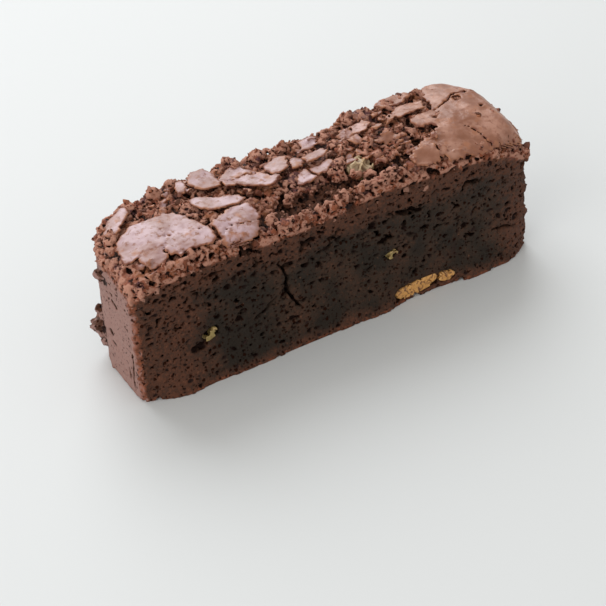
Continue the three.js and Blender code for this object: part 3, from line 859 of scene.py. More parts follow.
# %% Plate outlines
# Outline in crust space, height of the plate's middle, and its slope along and across the bar.
PLATES = {
    "near plate": (
        [(4.4, 14.4), (6.4, 15.8), (9.6, 17), (14.6, 16.6), (17.6, 17.2), (19.5, 15.4), (21.4, 12.6),
         (22, 9.8), (23.6, 5.8), (23.6, 3.4), (22, 2.5), (18.4, 2.8), (14.8, 3.5), (12.4, 3.8),
         (11.9, 6), (8.4, 7.8), (5.2, 7.1), (3, 7.9), (3.4, 10.7)],
        0.4, 0.01, -0.03,
    ),
    "near corner plate": (
        [(6.4, 6.6), (8.4, 7.4), (11.3, 5.9), (11.7, 3.8), (10.6, 2.9), (7.6, 2.6), (6.3, 4.4)],
        0.3, 0, 0.02,
    ),
    "near chip": ([(5.2, 1.4), (8, 1.8), (5.9, 0.1)], 0.3, 0, -0.2),
    "second plate": (
        [(24.6, 7.4), (27.8, 8.6), (31.2, 9.6), (34.9, 9.6), (35.8, 8), (35.9, 5.6), (34.6, 4.4),
         (34.1, 2.2), (31.2, 0.6), (25, 0.3), (24, 1.4), (24.9, 4)],
        0.3, -0.02, 0.06,
    ),
    "slanting plate": (
        [(24.2, 17.6), (26.3, 17.8), (29.2, 15.6), (32.2, 14.4), (34.8, 12.8), (35.4, 11.4), (33.2, 10.6),
         (30, 10.9), (26.4, 12), (24.2, 14.6)],
        0.4, 0.05, -0.04,
    ),
    "back plate": (
        [(27.7, 25), (29.8, 26.7), (32.8, 27), (33.8, 23.8), (33.8, 20.6), (32.8, 18.7), (30.8, 18.6),
         (28, 20.2), (27, 22.5)],
        0.7, -0.03, 0.02,
    ),
    "narrow plate": ([(24.6, 25.2), (26.4, 24.6), (26.2, 21.7), (24.9, 20.3), (23.6, 20.8), (23.9, 23.5)],
                     0.5, 0.08, 0),
    "middle plate": (
        [(34.5, 21.6), (37, 24), (39.6, 24.7), (40.8, 22.4), (43.3, 18.9), (44.7, 16.7), (46.4, 14.6),
         (44, 13), (42, 13), (39.1, 15.7), (36.2, 17.2), (34.2, 18)],
        0.7, 0.04, -0.03,
    ),
    "near back plate": (
        [(3.4, 19), (5.8, 22), (9.2, 23.9), (11.4, 24.4), (11.2, 22), (9.4, 19.9), (7.4, 18.3),
         (5.5, 16.4), (4, 16.9)],
        0.5, 0.06, -0.05,
    ),
    "round plate": (
        [(45.3, 19.6), (47, 21.4), (50.2, 22), (51.6, 20.6), (50.9, 18.2), (49, 15.9), (47.2, 15.6),
         (45.6, 17.2)],
        0.8, 0.08, -0.1,
    ),
    "small plate": ([(51, 16.9), (52.4, 18.7), (53.9, 18.8), (54, 16.4), (53, 15.3), (51, 15.3)],
                    0.4, -0.1, 0.1),
    "bright plate": ([(54.4, 17.2), (56.8, 18), (59.4, 17.2), (59.8, 15.2), (57.4, 14.2), (54.8, 14.5)],
                     1.3, 0.08, -0.12),
    "lumpy plate": (
        [(50.4, 12.6), (52.6, 13.6), (55.2, 12.9), (58.6, 13.3), (59.9, 12.4), (57.6, 10.9), (54.2, 10.4),
         (51, 9.6), (49.2, 10.4)],
        0.3, 0.05, -0.1,
    ),
    "back chip": ([(57.4, 24.4), (60.6, 24.9), (61.6, 22.6), (59.4, 21.2), (56.6, 21.3)], 0, 0, 0.1),
    "pale chip": ([(66.1, 16.7), (69, 17.4), (69.7, 15.3), (66.9, 14.6)], 0.7, -0.1, 0.2),
    "brown chip": ([(69.7, 21), (73.3, 22.2), (74.6, 19.6), (71.9, 17.6), (69.2, 18.2)], 0.5, 0.1, -0.1),
    "far step": ([(80.4, 20.3), (83.3, 22.4), (86.1, 21.7), (89, 20.6), (88.3, 17.6), (84.7, 16.9),
                  (81.1, 17.3)], 0.4, 0.03, -0.05),
    "far back plate": (
        [(79, 24.4), (81.1, 25.8), (84.4, 26.3), (87.6, 25.9), (88.3, 24.2), (85.4, 23), (82.6, 22.4),
         (80.1, 23.2)],
        0.9, 0.02, 0.02,
    ),
    "front far plate": (
        [(75.4, 3.1), (78.2, 4.8), (82.4, 4.4), (82.1, 1.4), (81.2, 0.2), (78.3, 0), (75.6, 0.6)],
        0.4, 0.02, 0.04,
    ),
    "far edge chip": ([(83.8, 1.2), (87.4, 1.5), (89.2, 0), (84, -0.1)], 0.2, 0, 0.1),
    "tin edge crust": (
        [(78.6, 5.4), (80.9, 7.6), (85.2, 7.6), (87.2, 9.4), (86.2, 11.1), (83, 11.6), (82.8, 14.8),
         (86.2, 15.6), (89.8, 16.2), (91, 19), (90.6, 22.4), (92.6, 25.6), (96, 27.8), (LENGTH - 9, 28),
         (LENGTH - 2, 24), (LENGTH - 0.2, 18), (LENGTH - 0.2, 5), (LENGTH - 1.5, 0.6), (93, -0.2),
         (89.8, 0), (88, 1.4), (83.4, 1.4), (83.2, 4.6)],
        -0.1, 0, 0,
    ),
}
# Hairline cracks and pinholes in the crust, as the cuts of the cake: points, half width, depth.
CRUST_CUTS = [
    ([(14.6, 17), (13.6, 13.2), (14.2, 9.8), (12.2, 5.6)], 0.04, 2.5),
    ([(13.8, 9.8), (17.6, 8.2), (23.6, 6.6)], 0.06, 2.5),
    ([(54, 14.4), (53.6, 12), (54.4, 9.8)], 0.25, 2.5),
    ([(24.8, 3.6), (29, 5), (36, 4.4)], 0.07, 2.5),
    ([(34.4, 19.6), (38, 20.4), (43, 19.4)], 0.12, 2.5),
    ([(97, 17), (97.7, 17.3)], 0.85, 2.5),
    ([(89.8, 16), (94, 16.8), (98, 19.4), (101, 19)], 0.22, 2.5),
    ([(92, 9), (95, 5.4), (96, -1.4)], 0.12, 2.5),
    ([(100, 22), (101, 19), (105, 17.6)], 0.12, 2.5),
    ([(100.8, 12.4), (101.2, 12.5)], 0.4, 2.5),
    ([(88.8, 12.8), (89.2, 12.8)], 0.45, 2.5),
]
CRUST_THICKNESS = 0.54
CRUST_VOXEL = 0.27
CRUST_SHAKES = [(9, 0.8, 1), (2.6, 0.6, 0.4), (1, 0.7, 0.15)]


# Where the crust broke into flakes: a corner, the opposite corner, how many, smallest and largest
# radius. Some lie flat and some stand on edge.
FLAKE_ZONES = [
    ((60, 10), (80, 26), 34, 0.7, 1.9),
    ((36, 8), (50, 15), 8, 0.6, 1.3),
    ((45, 20), (62, 26), 8, 0.6, 1.4),
    ((3, 2), (20, 6), 8, 0.5, 1.1),
    ((68, 1.5), (84, 9), 12, 0.6, 1.5),
    ((12, 18), (28, 26), 10, 0.6, 1.5),
]
FLAKE_LIFT = (-0.5, 0.7)
STEEPEST_FLAKE = 0.6
FLAKE_SEED = 7


def flake_outlines(seed):
    """Ragged little plates at random, written as the plates are."""
    chance = np.random.default_rng(seed)
    flakes = []
    for low_corner, high_corner, count, smallest, largest in FLAKE_ZONES:
        for _ in range(count):
            x, y = chance.uniform(low_corner, high_corner)
            size = chance.uniform(smallest, largest)
            angles = np.sort(chance.uniform(0, 2 * math.pi, 6))
            reaches = size * chance.uniform(0.6, 1.2, 6)
            outline = [(x + r * math.cos(a), y + 0.8 * r * math.sin(a)) for a, r in zip(angles, reaches)]
            along, across = chance.uniform(-STEEPEST_FLAKE, STEEPEST_FLAKE, 2)
            flakes.append((outline, chance.uniform(*FLAKE_LIFT), along, across))
    return flakes


def plate_polygons(plates):
    """The plates as one mesh, each outline on its own tilted plane."""
    points, faces = [], []
    for outline, lift, along, across in plates:
        middle_x = sum(x for x, _ in outline) / len(outline)
        middle_y = sum(y for _, y in outline) / len(outline)
        faces.append(tuple(range(len(points), len(points) + len(outline))))
        points += [(x, y, lift + along * (x - middle_x) + across * (y - middle_y)) for x, y in outline]
    return points, faces


plate_points, plate_faces = plate_polygons([*PLATES.values(), *flake_outlines(FLAKE_SEED)])
plates_object = helper_object(
    "plate outlines", plate_points, plate_faces, [CRUST_THICKNESS / 2] * len(plate_points)
)
cut_points, cut_faces, cut_radii = cut_sheets(CRUST_CUTS, lambda at, inward: (*at, -inward))
crust_cuts_object = helper_object("crust cuts", cut_points, cut_faces, cut_radii)
print("plates:", len(PLATES), "outline points:", len(plate_points))


# %% The crust's node tree
def make_crust_tree():
    tree = new_tree("crust plates", [("Voxel mm", FLOAT, 1.0)], [("Geometry", GEOMETRY)])
    sizes = add(tree, "NodeGroupInput")
    _, flattened = crust_space(tree, place_in_bar(tree))
    for seed, (size, height, upright) in enumerate(CRUST_SHAKES):
        flattened = shaken(tree, flattened, size, height, seed, upright)
    sheet = distance_to(tree, plates_object, flattened, "FACES")
    cut = distance_to(tree, crust_cuts_object, flattened, "FACES")
    solid = add(tree, MATH, MULTIPLY, [cut, -1])
    sheet = add(tree, MATH, SMOOTH_MIN, [sheet, solid, 0.15])
    low = Vector((brownie_low.x - MM, brownie_low.y - MM, LOWEST_CRUST * MM))
    high = brownie_high + Vector((1, 1, 1)) * MM
    skin = skin_of(tree, sheet, sizes.outputs["Voxel mm"], low, high)
    add(tree, "NodeGroupOutput", None, [add(tree, "GeometryNodeRealizeInstances", None, [skin])])
    return tree


crust = grow("crust_plates", make_crust_tree(), **{"Voxel mm": CRUST_VOXEL})

# %% [markdown]
# ## Marks for the materials
# Cake is not one brown: the crumb just under the crust is redder than the fudgy middle. The torn peaks, where
# the crumb dried, get a painted highlight, and painted shade darkens the bubbles, the deep places and the
# dips. Paint masks could be drawn by hand, but the form already knows where everything is. So one tree
# measures marks on each finished mesh and stores them as attributes, and the materials read them:
#
# - depth: how deep a point lies below the cut walls and the broken top.
# - dry: near the crust, the base and both ends, where the oven dried the crumb.
# - hollow: whether the skin dips or stands out, from each point's distance to its neighbours' mean.
# - upward and along: which way the skin faces, and how far along the bar it is.
# - pressed and lit: the near end wall, where the knife pressed the crumb smooth and paler, and which also
#   gets painted light from the side window.
# - lip: the front crest, the near corner and the base edge, where the crumb frays and browns.

# %% The marking tree
# The broken top lies this far below the crust level before a point counts as deep.
OPEN_TOP = 2.3
# Bands of the marks, in millimetres: where each starts and ends, and how strong it is at each.
DRY_BY_CRUST = (13, 3, 0, 0.5)
DRY_BY_NEAR_END = (26, 5, 0, 0.5)
DRY_BY_TIN = (94, 105, 0, 0.6)
DRY_BY_BASE = (4, 0.4, 0, 0.4)
DRY_EDGE = (3, 0.6, 0, 0.45)
LIP_BY_CREST = (3.4, 1.4, 0, 1)
LIP_BY_WALL = (1.8, 0.6, 0, 1)
LIP_BY_CORNER = (2.6, 0.8, 0, 0.95)
LIP_BY_BASE = (2, 0.4, 0, 0.8)
PRESSED_AND_LIT_BY_END = (3.5, 1.5, 0, 1)
# The near end wall faces this way along the bar, toward the side window, so its mark also carries painted
# light from that window.
PRESSED_AND_LIT_FACING = (-0.55, -0.85, 0, 1)


def make_marking_tree():
    tree = new_tree(
        "marks",
        [
            ("Geometry", GEOMETRY, None),
            ("Material", "NodeSocketMaterial", None),
            ("Smoothing", "NodeSocketInt", 7),
        ],
        [("Geometry", GEOMETRY)],
    )
    given = add(tree, "NodeGroupInput")
    place = place_in_bar(tree)
    form, _ = crust_space(tree, place)
    z = add(tree, "ShaderNodeSeparateXYZ", None, [place]).outputs["Z"]
    below = add(tree, MATH, SUBTRACT, [form.outputs["Level"], z])
    sunk = add(tree, MATH, SUBTRACT, [below, OPEN_TOP])
    depth = add(tree, MATH, MINIMUM, [form.outputs["Wall"], sunk])
    around = add(
        tree,
        "GeometryNodeBlurAttribute",
        {"data_type": "FLOAT_VECTOR"},
        {"Value": place, "Iterations": given.outputs["Smoothing"]},
    )
    shift = add(tree, VECTOR_MATH, SUBTRACT, [around, place])
    normal = add(tree, "GeometryNodeInputNormal")
    hollow = add(tree, VECTOR_MATH, DOT_PRODUCT, [shift, normal]).outputs["Value"]
    upward = add(tree, "ShaderNodeSeparateXYZ", None, [normal]).outputs["Z"]
    x = add(tree, "ShaderNodeSeparateXYZ", None, [place]).outputs["X"]
    dry = 0
    for value, reach in (
        (below, DRY_BY_CRUST),
        (x, DRY_BY_NEAR_END),
        (x, DRY_BY_TIN),
        (z, DRY_BY_BASE),
    ):
        band = add(tree, RANGE, SMOOTH, [value, *reach])
        dry = add(tree, MATH, MAXIMUM, [dry, band])
    edge = add(tree, RANGE, SMOOTH, [below, *DRY_EDGE])
    dry = add(tree, MATH, ADD, [dry, edge])
    y = add(tree, "ShaderNodeSeparateXYZ", None, [place]).outputs["Y"]
    corner = add(tree, "ShaderNodeCombineXYZ", None, [x, y, 0])
    from_corner = add(tree, VECTOR_MATH, DISTANCE, [corner]).outputs["Value"]
    crest = add(tree, RANGE, SMOOTH, [below, *LIP_BY_CREST])
    outer = add(tree, RANGE, SMOOTH, [form.outputs["Wall"], *LIP_BY_WALL])
    lip = add(tree, MATH, MULTIPLY, [crest, outer])
    for value, reach in ((from_corner, LIP_BY_CORNER), (z, LIP_BY_BASE)):
        band = add(tree, RANGE, SMOOTH, [value, *reach])
        lip = add(tree, MATH, MAXIMUM, [lip, band])
    facing = add(tree, "ShaderNodeSeparateXYZ", None, [normal]).outputs["X"]
    pressed = add(tree, RANGE, SMOOTH, [facing, *PRESSED_AND_LIT_FACING])
    near_end = add(tree, RANGE, SMOOTH, [x, *PRESSED_AND_LIT_BY_END])
    pressed = add(tree, MATH, MULTIPLY, [pressed, near_end])
    marked = given.outputs["Geometry"]
    marks = {
        "depth": depth,
        "dry": dry,
        "hollow": hollow,
        "upward": upward,
        "along": x,
        "pressed": pressed,
        "lip": lip,
    }
    for name, value in marks.items():
        marked = add(
            tree, "GeometryNodeStoreNamedAttribute", None, {"Geometry": marked, "Name": name, "Value": value}
        )
    finished = add(tree, "GeometryNodeRealizeInstances", None, [marked])
    painted = add(
        tree, "GeometryNodeSetMaterial", None, {"Geometry": finished, "Material": given.outputs["Material"]}
    )
    add(tree, "NodeGroupOutput", None, [painted])
    return tree


marking_tree = make_marking_tree()
print("marking nodes:", len(marking_tree.nodes))

# %% [markdown]
# ## Materials
# Baked cake, its sugar crust and walnut are all dull, uneven and a little moist, so one flat colour
# would look like plastic. A picture could be wrapped round them, but it would stretch over the
# crags. Here every colour is a mix of a few sRGB hex values, laid over each other as coats. The marks
# say where each coat goes, and noise with a real size in millimetres frays its border.

# %% Colours and a helper
def linear(code):
    """An sRGB hex colour as linear RGBA."""
    shares = [int(code[i:i + 2], 16) / 255 for i in (1, 3, 5)]
    return (*[c / 12.92 if c <= 0.04045 else ((c + 0.055) / 1.055) ** 2.4 for c in shares], 1)


def new_material(name):
    material = bpy.data.materials.new(name)
    material.use_nodes = True
    tree = material.node_tree
    tree.nodes.clear()
    return material, tree


def coats(tree, colour, layers):
    """Lays colours over each other. Each layer is (value, where it is absent, where it is full, colour)."""
    for value, absent, full, coat in layers:
        share = add(tree, RANGE, SMOOTH, [value, absent, full, 0, 1])
        colour = add(tree, MIX, {"data_type": "RGBA"}, {0: share, 6: colour, 7: coat})
    return colour


# %% The crumb
# Chocolate cake, cut with a knife and torn at the top. Cocoa makes it nearly black where it is
# fudgy and reddish where it dried, and its many tiny pores swallow the light, so it has hardly any
# shine except on moist peaks.
def crumb_material():
    material, tree = new_material("chocolate cake crumb, torn and moist")
    place = add(tree, "ShaderNodeTexCoord").outputs["Object"]
    dry, depth, hollow, pressed, lip, tint = (
        add(tree, "ShaderNodeAttribute", {"attribute_name": name}).outputs["Fac"]
        for name in ("dry", "depth", "hollow", "pressed", "lip", "tint")
    )
    patches = add(tree, NOISE, None, {"Vector": place, "Scale": 1 / (9 * MM), "Detail": 4})
    specks = add(tree, NOISE, None, {"Vector": place, "Scale": 1 / (0.8 * MM), "Detail": 5, "Roughness": 0.7})

    # Bubbles too small for the mesh: pits of two sizes, darkened with painted shade and without shine.
    wander = (1.2 * MM,) * 3
    uneven = add(tree, VECTOR_MATH, MULTIPLY_ADD, [specks.outputs["Color"], wander, place])
    pit = 0
    for spacing, largest in ((1.4, 0.34), (0.8, 0.36)):
        cell = add(tree, CELLS, None, {"Vector": uneven, "Scale": 1 / (spacing * MM)})
        chance = add(tree, "ShaderNodeSeparateXYZ", None, [cell.outputs["Color"]]).outputs["X"]
        size = add(tree, RANGE, None, [chance, 0.2, 1, 0, largest])
        rim = add(tree, MATH, SUBTRACT, [cell.outputs["Distance"], size])
        layer = add(tree, RANGE, SMOOTH, [rim, 0.06, -0.06, 0, 1])
        pit = add(tree, MATH, MAXIMUM, [pit, layer])

    # Colour: fudgy and dark inside, brown near the surface of the tray, reddish in the torn crumb.
    ragged = add(tree, MATH, SUBTRACT, [specks, 0.5])
    dryness = add(tree, MATH, MULTIPLY_ADD, [ragged, 0.7, dry])
    cloudy = add(tree, MATH, SUBTRACT, [patches, 0.5])
    dryness = add(tree, MATH, MULTIPLY_ADD, [cloudy, 0.9, dryness])
    fudge = coats(tree, linear("#241b12"), [(patches, 0.4, 0.65, linear("#35261a"))])
    brown = coats(tree, linear("#4a2d1f"), [(specks, 0.35, 0.65, linear("#613a28"))])
    reddish = coats(tree, linear("#743d28"), [(specks, 0.35, 0.65, linear("#9a5d47"))])
    edge = add(tree, MATH, MULTIPLY_ADD, [ragged, 1.6, lip])
    smudges = add(tree, NOISE, None, {"Vector": place, "Scale": 1 / (4 * MM), "Detail": 3})
    reddish = coats(
        tree,
        reddish,
        [(smudges, 0.52, 0.66, linear("#9c6242")), (smudges, 0.47, 0.34, linear("#644044"))],
    )
    colour = coats(
        tree,
        fudge,
        [
            (dryness, -0.1, 0.6, brown),
            (dryness, 0.6, 1, reddish),
            # The near end wall: pressed crumb, made paler still by painted light from the side window.
            (pressed, 0, 1, linear("#957269")),
            (edge, 0.55, 1.25, linear("#8a4c32")),
            (tint, 0.3, 1, linear("#a97c6a")),
            (tint, -0.1, -0.9, linear("#55301f")),
            (specks, 0.6, 0.85, linear("#85604b")),
            # Painted shade: dark in the tiny pits, deep below the cut walls and the broken top, and where the
            # skin dips.
            (pit, 0, 1.3, linear("#26110a")),
            (depth, 0.5, 2, linear("#23110a")),
            (hollow, 0.03, 0.15, linear("#27120b")),
        ],
    )

    # Peaks of the torn crumb get a painted highlight, but a cut wall's pore rims do not.
    torn = add(tree, RANGE, None, [dry, 0.6, 0.9, 0, 1])
    peak_highlight = add(tree, MATH, MULTIPLY, [hollow, torn])
    colour = coats(tree, colour, [(peak_highlight, -0.04, -0.24, linear("#b07e6a"))])

    grain = add(tree, NOISE, None, {"Vector": place, "Scale": 1 / (0.4 * MM), "Detail": 4, "Roughness": 0.65})
    relief = add(tree, MATH, MULTIPLY_ADD, [pit, -0.8, grain])
    bump = add(tree, "ShaderNodeBump", None, {"Strength": 0.8, "Distance": 0.4 * MM, "Height": relief})
    gloss = add(tree, RANGE, None, [specks, 0.3, 0.7, 0.5, 0.85])
    moist = add(tree, RANGE, None, [pit, 0, 1, 0.3, 0])
    shader = add(
        tree,
        "ShaderNodeBsdfPrincipled",
        None,
        {
            "Base Color": colour,
            "Roughness": gloss,
            "IOR": 1.45,
            "Specular IOR Level": moist,
            "Normal": bump,
        },
    )
    add(tree, "ShaderNodeOutputMaterial", None, [shader])
    return material


# %% The crust
# Sugar and egg that dried to a skin thinner than a millimetre. It is pale and mauve over most of the top,
# partly its own tone and partly painted sheen, and browned toward the tin end where the oven caught it, with
# a satin sheen, and it shows the redder crumb at torn edges.
def crust_material():
    material, tree = new_material("papery sugar crust")
    place = add(tree, "ShaderNodeTexCoord").outputs["Object"]
    upward, along, hollow = (
        add(tree, "ShaderNodeAttribute", {"attribute_name": name}).outputs["Fac"]
        for name in ("upward", "along", "hollow")
    )
    patches = add(tree, NOISE, None, {"Vector": place, "Scale": 1 / (6 * MM), "Detail": 4})
    wrinkles = add(
        tree, NOISE, None, {"Vector": place, "Scale": 1 / (1.3 * MM), "Detail": 6, "Roughness": 0.6}
    )
    # The pale mauve of the plates is partly the crust's own tone and partly painted sheen.
    pale_with_sheen = coats(tree, linear("#96716a"), [(patches, 0.4, 0.6, linear("#b3969a"))])
    browned = coats(tree, linear("#85533b"), [(patches, 0.38, 0.64, linear("#a97a66"))])
    torn = coats(tree, linear("#743f2c"), [(wrinkles, 0.4, 0.6, linear("#9c6444"))])
    smudges = add(tree, NOISE, None, {"Vector": place, "Scale": 1 / (3.2 * MM), "Detail": 5})
    face = coats(
        tree,
        pale_with_sheen,
        [
            (along, 60, 78, browned),
            (smudges, 0.54, 0.68, linear("#9a6244")),
            (wrinkles, 0.48, 0.34, linear("#85543e")),
        ],
    )
    colour = coats(tree, face, [(hollow, -0.03, -0.26, torn), (upward, 0.55, 0.2, torn)])
    bump = add(tree, "ShaderNodeBump", None, {"Strength": 0.3, "Distance": 0.3 * MM, "Height": wrinkles})
    shader = add(
        tree,
        "ShaderNodeBsdfPrincipled",
        None,
        {"Base Color": colour, "Roughness": 0.36, "IOR": 1.5, "Normal": bump},
    )
    add(tree, "ShaderNodeOutputMaterial", None, [shader])
    return material


# %% The walnut
# Baked walnut, cut by the knife: waxy, light brown at the base where it toasted, and olive where the batter
# kept it moist, with brown fibres, darker in its furrows and paler on its ridges.
def walnut_material():
    material, tree = new_material("walnut kernel, cut and baked")
    place = add(tree, "ShaderNodeTexCoord").outputs["Object"]
    hollow, dry = (
        add(tree, "ShaderNodeAttribute", {"attribute_name": name}).outputs["Fac"]
        for name in ("hollow", "dry")
    )
    height = add(tree, "ShaderNodeSeparateXYZ", None, [place]).outputs["Z"]
    fibres = add(
        tree, NOISE, None, {"Vector": place, "Scale": 1 / (1.4 * MM), "Detail": 5, "Distortion": 1.5}
    )
    toasted = coats(tree, linear("#d19a55"), [(fibres, 0.4, 0.7, linear("#9a6836"))])
    colour = coats(
        tree,
        toasted,
        [
            (height, 6 * MM, 9 * MM, linear("#8f7c48")),
            (dry, 0.7, 1, linear("#b39c7d")),
            (fibres, 0.52, 0.66, linear("#6b452c")),
            (hollow, 0.01, 0.12, linear("#5d3a1c")),
            (hollow, -0.05, -0.3, linear("#dcb980")),
        ],
    )
    bump = add(tree, "ShaderNodeBump", None, {"Strength": 0.5, "Distance": 0.25 * MM, "Height": fibres})
    shader = add(
        tree,
        "ShaderNodeBsdfPrincipled",
        None,
        {"Base Color": colour, "Roughness": 0.5, "IOR": 1.47, "Normal": bump},
    )
    add(tree, "ShaderNodeOutputMaterial", None, [shader])
    return material


# %% Finishing the pieces
def finish_piece(piece, material, slot, *nodes, smoothing=7):
    """Marks the mesh, gives it its material, and fixes the piece to the frame."""
    modifier = piece.modifiers.new("marks", "NODES")
    modifier.node_group = marking_tree
    wanted = {"Material": material, "Smoothing": smoothing}
    for item in marking_tree.interface.items_tree:
        if item.in_out == "INPUT" and item.name in wanted:
            modifier[item.identifier] = wanted[item.name]
    marked = evaluated_mesh(piece)
    piece.modifiers.clear()
    piece.data = marked
    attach(piece, "root")
    if nodes:
        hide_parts(*nodes)
    print(piece.name, "finished:", triangle_count(piece.data), "triangles,", material.name)


crumb = crumb_material()
finish_piece(cake, crumb, "crumb", "brownie")
finish_piece(broken_top, crumb, "crumb", "brownie")
finish_piece(crust, crust_material(), "crust", smoothing=20)
kernel_look = walnut_material()
for name, kernel in kernels.items():
    finish_piece(kernel, kernel_look, "walnut", name)

# %% [markdown]
# ## Loose crumbs
# A knife and a broken crust leave crumbs all over the top and along the edges. They are the same
# few shapes again and again, turned and sized at random, which is what instances are for. Each
# shape is the convex hull of a shaken ball, as a crumb has flat broken faces and blunt corners.
# Points are scattered on the broken top where it faces up or is part of the rim, more in some
# patches than in others, and the tint that each crumb gets is stored for the crumb's material.

# %% The scatter tree
CRUMB_SHAPES = 4
# Crumbs and fine grains: how many on a square millimetre, the smallest radius, and the largest
# radius, which is rare.
CRUMBS = {"Crumbs per mm2": 0.7, "Smallest mm": 0.24, "Largest mm": 0.85, "Faces": 2, "Seed": 5}
GRAINS = {"Crumbs per mm2": 1.85, "Smallest mm": 0.12, "Largest mm": 0.4, "Faces": 1, "Seed": 6}
SINK = 0.45
# Where crumbs lie: how far below the crust the rim and the broken top reach, how much a face has
# to face up, and how thin the crumbs get between the patches.
RIM_BAND = (2.4, 1, 0, 1)
TOP_BAND = (5.6, 5, 0, 1)
FACING_BAND = (0, 0.4, 0, 1)
PATCH_SIZE = 6
THINNEST = 0.25


def make_scatter_tree():
    tree = new_tree(
        "loose crumbs",
        [
            ("Geometry", GEOMETRY, None),
            ("Crumbs per mm2", FLOAT, 1.0),
            ("Smallest mm", FLOAT, 0.1),
            ("Largest mm", FLOAT, 1.0),
            ("Faces", "NodeSocketInt", 2),
            ("Seed", "NodeSocketInt", 5),
        ],
        [("Geometry", GEOMETRY)],
    )
    given = add(tree, "NodeGroupInput")
    place = place_in_bar(tree)
    form, _ = crust_space(tree, place)
    z = add(tree, "ShaderNodeSeparateXYZ", None, [place]).outputs["Z"]
    below = add(tree, MATH, SUBTRACT, [form.outputs["Level"], z])
    upward = add(tree, "ShaderNodeSeparateXYZ", None, [add(tree, "GeometryNodeInputNormal")]).outputs["Z"]
    rim = add(tree, RANGE, SMOOTH, [below, *RIM_BAND])
    flat = add(tree, RANGE, SMOOTH, [upward, *FACING_BAND])
    wanted = add(tree, MATH, MAXIMUM, [rim, flat])
    on_top = add(tree, RANGE, SMOOTH, [below, *TOP_BAND])
    wanted = add(tree, MATH, MULTIPLY, [wanted, on_top])
    patches = add(tree, NOISE, None, {"Vector": place, "Scale": 1 / PATCH_SIZE, "Detail": 2})
    patchy = add(tree, RANGE, None, [patches, 0.4, 0.6, THINNEST, 1])
    per_area = add(tree, MATH, MULTIPLY, [wanted, patchy])
    per_area = add(tree, MATH, MULTIPLY, [per_area, given.outputs["Crumbs per mm2"]])
    per_area = add(tree, MATH, DIVIDE, [per_area, MM * MM])
    scattered = add(
        tree,
        "GeometryNodeDistributePointsOnFaces",
        None,
        {"Mesh": given.outputs["Geometry"], "Density": per_area, "Seed": given.outputs["Seed"]},
    )
    shapes = add(tree, "GeometryNodeJoinGeometry")
    for number in range(CRUMB_SHAPES):
        ball = add(tree, "GeometryNodeMeshIcoSphere", None, [1, given.outputs["Faces"]])
        push = add(
            tree,
            "FunctionNodeRandomValue",
            {"data_type": "FLOAT_VECTOR"},
            {0: (-0.55,) * 3, 1: (0.55,) * 3, "Seed": number},
        )
        shaken_ball = add(tree, "GeometryNodeSetPosition", None, {"Geometry": ball, "Offset": push})
        hull = add(tree, "GeometryNodeConvexHull", None, [shaken_ball])
        single = add(tree, "GeometryNodeGeometryToInstance", None, [hull])
        tree.links.new(single.outputs[0], shapes.inputs[0])
    chance = add(tree, "FunctionNodeRandomValue", {"data_type": "FLOAT"}, {"Seed": 11})
    rare = add(tree, MATH, POWER, [chance.outputs[1], 3.5])
    radius = add(tree, RANGE, None, [rare, 0, 1, given.outputs["Smallest mm"], given.outputs["Largest mm"]])
    radius = add(tree, MATH, MULTIPLY, [radius, MM])
    turn = add(
        tree,
        "FunctionNodeRandomValue",
        {"data_type": "FLOAT_VECTOR"},
        {0: (0,) * 3, 1: (2 * math.pi,) * 3, "Seed": 12},
    )
    stretch = add(
        tree,
        "FunctionNodeRandomValue",
        {"data_type": "FLOAT_VECTOR"},
        {0: (0.5,) * 3, 1: (1.3,) * 3, "Seed": 13},
    )
    scale = add(tree, VECTOR_MATH, {"operation": "SCALE"}, {0: stretch, "Scale": radius})
    sunk = add(tree, MATH, MULTIPLY, [radius, -SINK])
    offset = add(tree, VECTOR_MATH, {"operation": "SCALE"}, {0: scattered.outputs["Normal"], "Scale": sunk})
    seated = add(
        tree, "GeometryNodeSetPosition", None, {"Geometry": scattered.outputs["Points"], "Offset": offset}
    )
    which = add(
        tree, "FunctionNodeRandomValue", {"data_type": "INT"}, {4: 0, 5: CRUMB_SHAPES - 1, "Seed": 14}
    )
    crumbs = add(
        tree,
        "GeometryNodeInstanceOnPoints",
        None,
        {
            "Points": seated,
            "Instance": shapes,
            "Pick Instance": True,
            "Instance Index": which.outputs[2],
            "Rotation": turn,
            "Scale": scale,
        },
    )
    shade = add(tree, "FunctionNodeRandomValue", {"data_type": "FLOAT"}, {2: -1, 3: 1, "Seed": 15})
    tinted = add(
        tree,
        "GeometryNodeStoreNamedAttribute",
        {"domain": "INSTANCE"},
        {"Geometry": crumbs, "Name": "tint", "Value": shade.outputs[1]},
    )
    real = add(tree, "GeometryNodeRealizeInstances", None, [tinted])
    add(tree, "NodeGroupOutput", None, [real])
    return tree


scatter_tree = make_scatter_tree()
crumbs = grow("crumbs", scatter_tree, broken_top.data.copy(), **CRUMBS)
grains = grow("crumb_grains", scatter_tree, broken_top.data.copy(), **GRAINS)
finish_piece(crumbs, crumb, "crumb", smoothing=0)
finish_piece(grains, crumb, "crumb", smoothing=0)

# %% [markdown]
# ## Camera, floor and light
# A long lens from a seated eater's height keeps the bar's long edges nearly parallel. The light is a
# large window behind the cake, a softer one at its near end, and an even pale room, so the crags
# throw soft shadows and the front side stays dark. The floor is plain and pale.

# %% Camera
CAMERA_LENS = 118.8
CAMERA_PITCH = 40
CAMERA_TURN = 28.69
CAMERA_ROLL = -3
CAMERA_DISTANCE = 481.9
CAMERA_AIM = Vector((48.84, 10.72, 0))

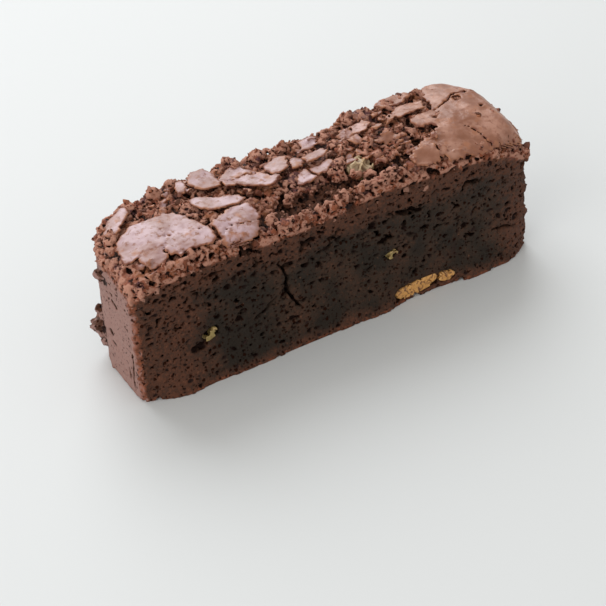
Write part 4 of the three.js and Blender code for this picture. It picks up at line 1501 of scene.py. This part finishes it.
camera = bpy.data.objects.new("camera", bpy.data.cameras.new("camera"))
bpy.context.scene.collection.objects.link(camera)
bpy.context.scene.camera = camera
camera.data.lens = CAMERA_LENS
camera.data.clip_start = 0.01
turn = (
    Matrix.Rotation(math.radians(-CAMERA_TURN), 4, "Z")
    @ Matrix.Rotation(math.radians(90 - CAMERA_PITCH), 4, "X")
    @ Matrix.Rotation(math.radians(CAMERA_ROLL), 4, "Z")
)
aim = bar_origin + CAMERA_AIM * MM
camera.matrix_world = Matrix.Translation(aim + turn @ Vector((0, 0, CAMERA_DISTANCE * MM))) @ turn

# %% Floor
FLOOR_HALF = 3
floor_mesh = bpy.data.meshes.new("floor")
corners = [(x * FLOOR_HALF, y * FLOOR_HALF, 0) for x, y in ((-1, -1), (1, -1), (1, 1), (-1, 1))]
floor_mesh.from_pydata(corners, [], [(0, 1, 2, 3)])
floor_look, floor_tree = new_material("white glazed tabletop")
glaze = add(
    floor_tree,
    "ShaderNodeBsdfPrincipled",
    None,
    {"Base Color": linear("#cdcfcf"), "Roughness": 0.55, "IOR": 1.5},
)
add(floor_tree, "ShaderNodeOutputMaterial", None, [glaze])
floor_mesh.materials.append(floor_look)
floor = bpy.data.objects.new("floor", floor_mesh)
bpy.context.scene.collection.objects.link(floor)


# %% Light
def soft_light(name, direction, distance, size, power, colour):
    """A round area light that faces the cake. Distance and size are in metres, power in watts."""
    data = bpy.data.lights.new(name, "AREA")
    data.shape = "DISK"
    data.size = size
    data.energy = power
    data.color = colour
    light = bpy.data.objects.new(name, data)
    bpy.context.scene.collection.objects.link(light)
    toward = Vector(direction).normalized()
    facing = toward.to_track_quat("Z", "Y").to_matrix().to_4x4()
    light.matrix_world = Matrix.Translation(toward * distance) @ facing
    return light


soft_light("window", (0.12, 0.9, 0.75), 1.6, 1.6, 21.5, (0.94, 0.97, 1))
soft_light("side window", (-1, -0.15, 0.4), 1.4, 1.8, 11, (1, 0.98, 0.97))
world = bpy.data.worlds.new("studio")
bpy.context.scene.world = world
world.use_nodes = True
world.node_tree.nodes["Background"].inputs["Color"].default_value = (1, 0.985, 0.955, 1)
world.node_tree.nodes["Background"].inputs["Strength"].default_value = 0.69
bpy.context.scene.view_settings.view_transform = "Standard"
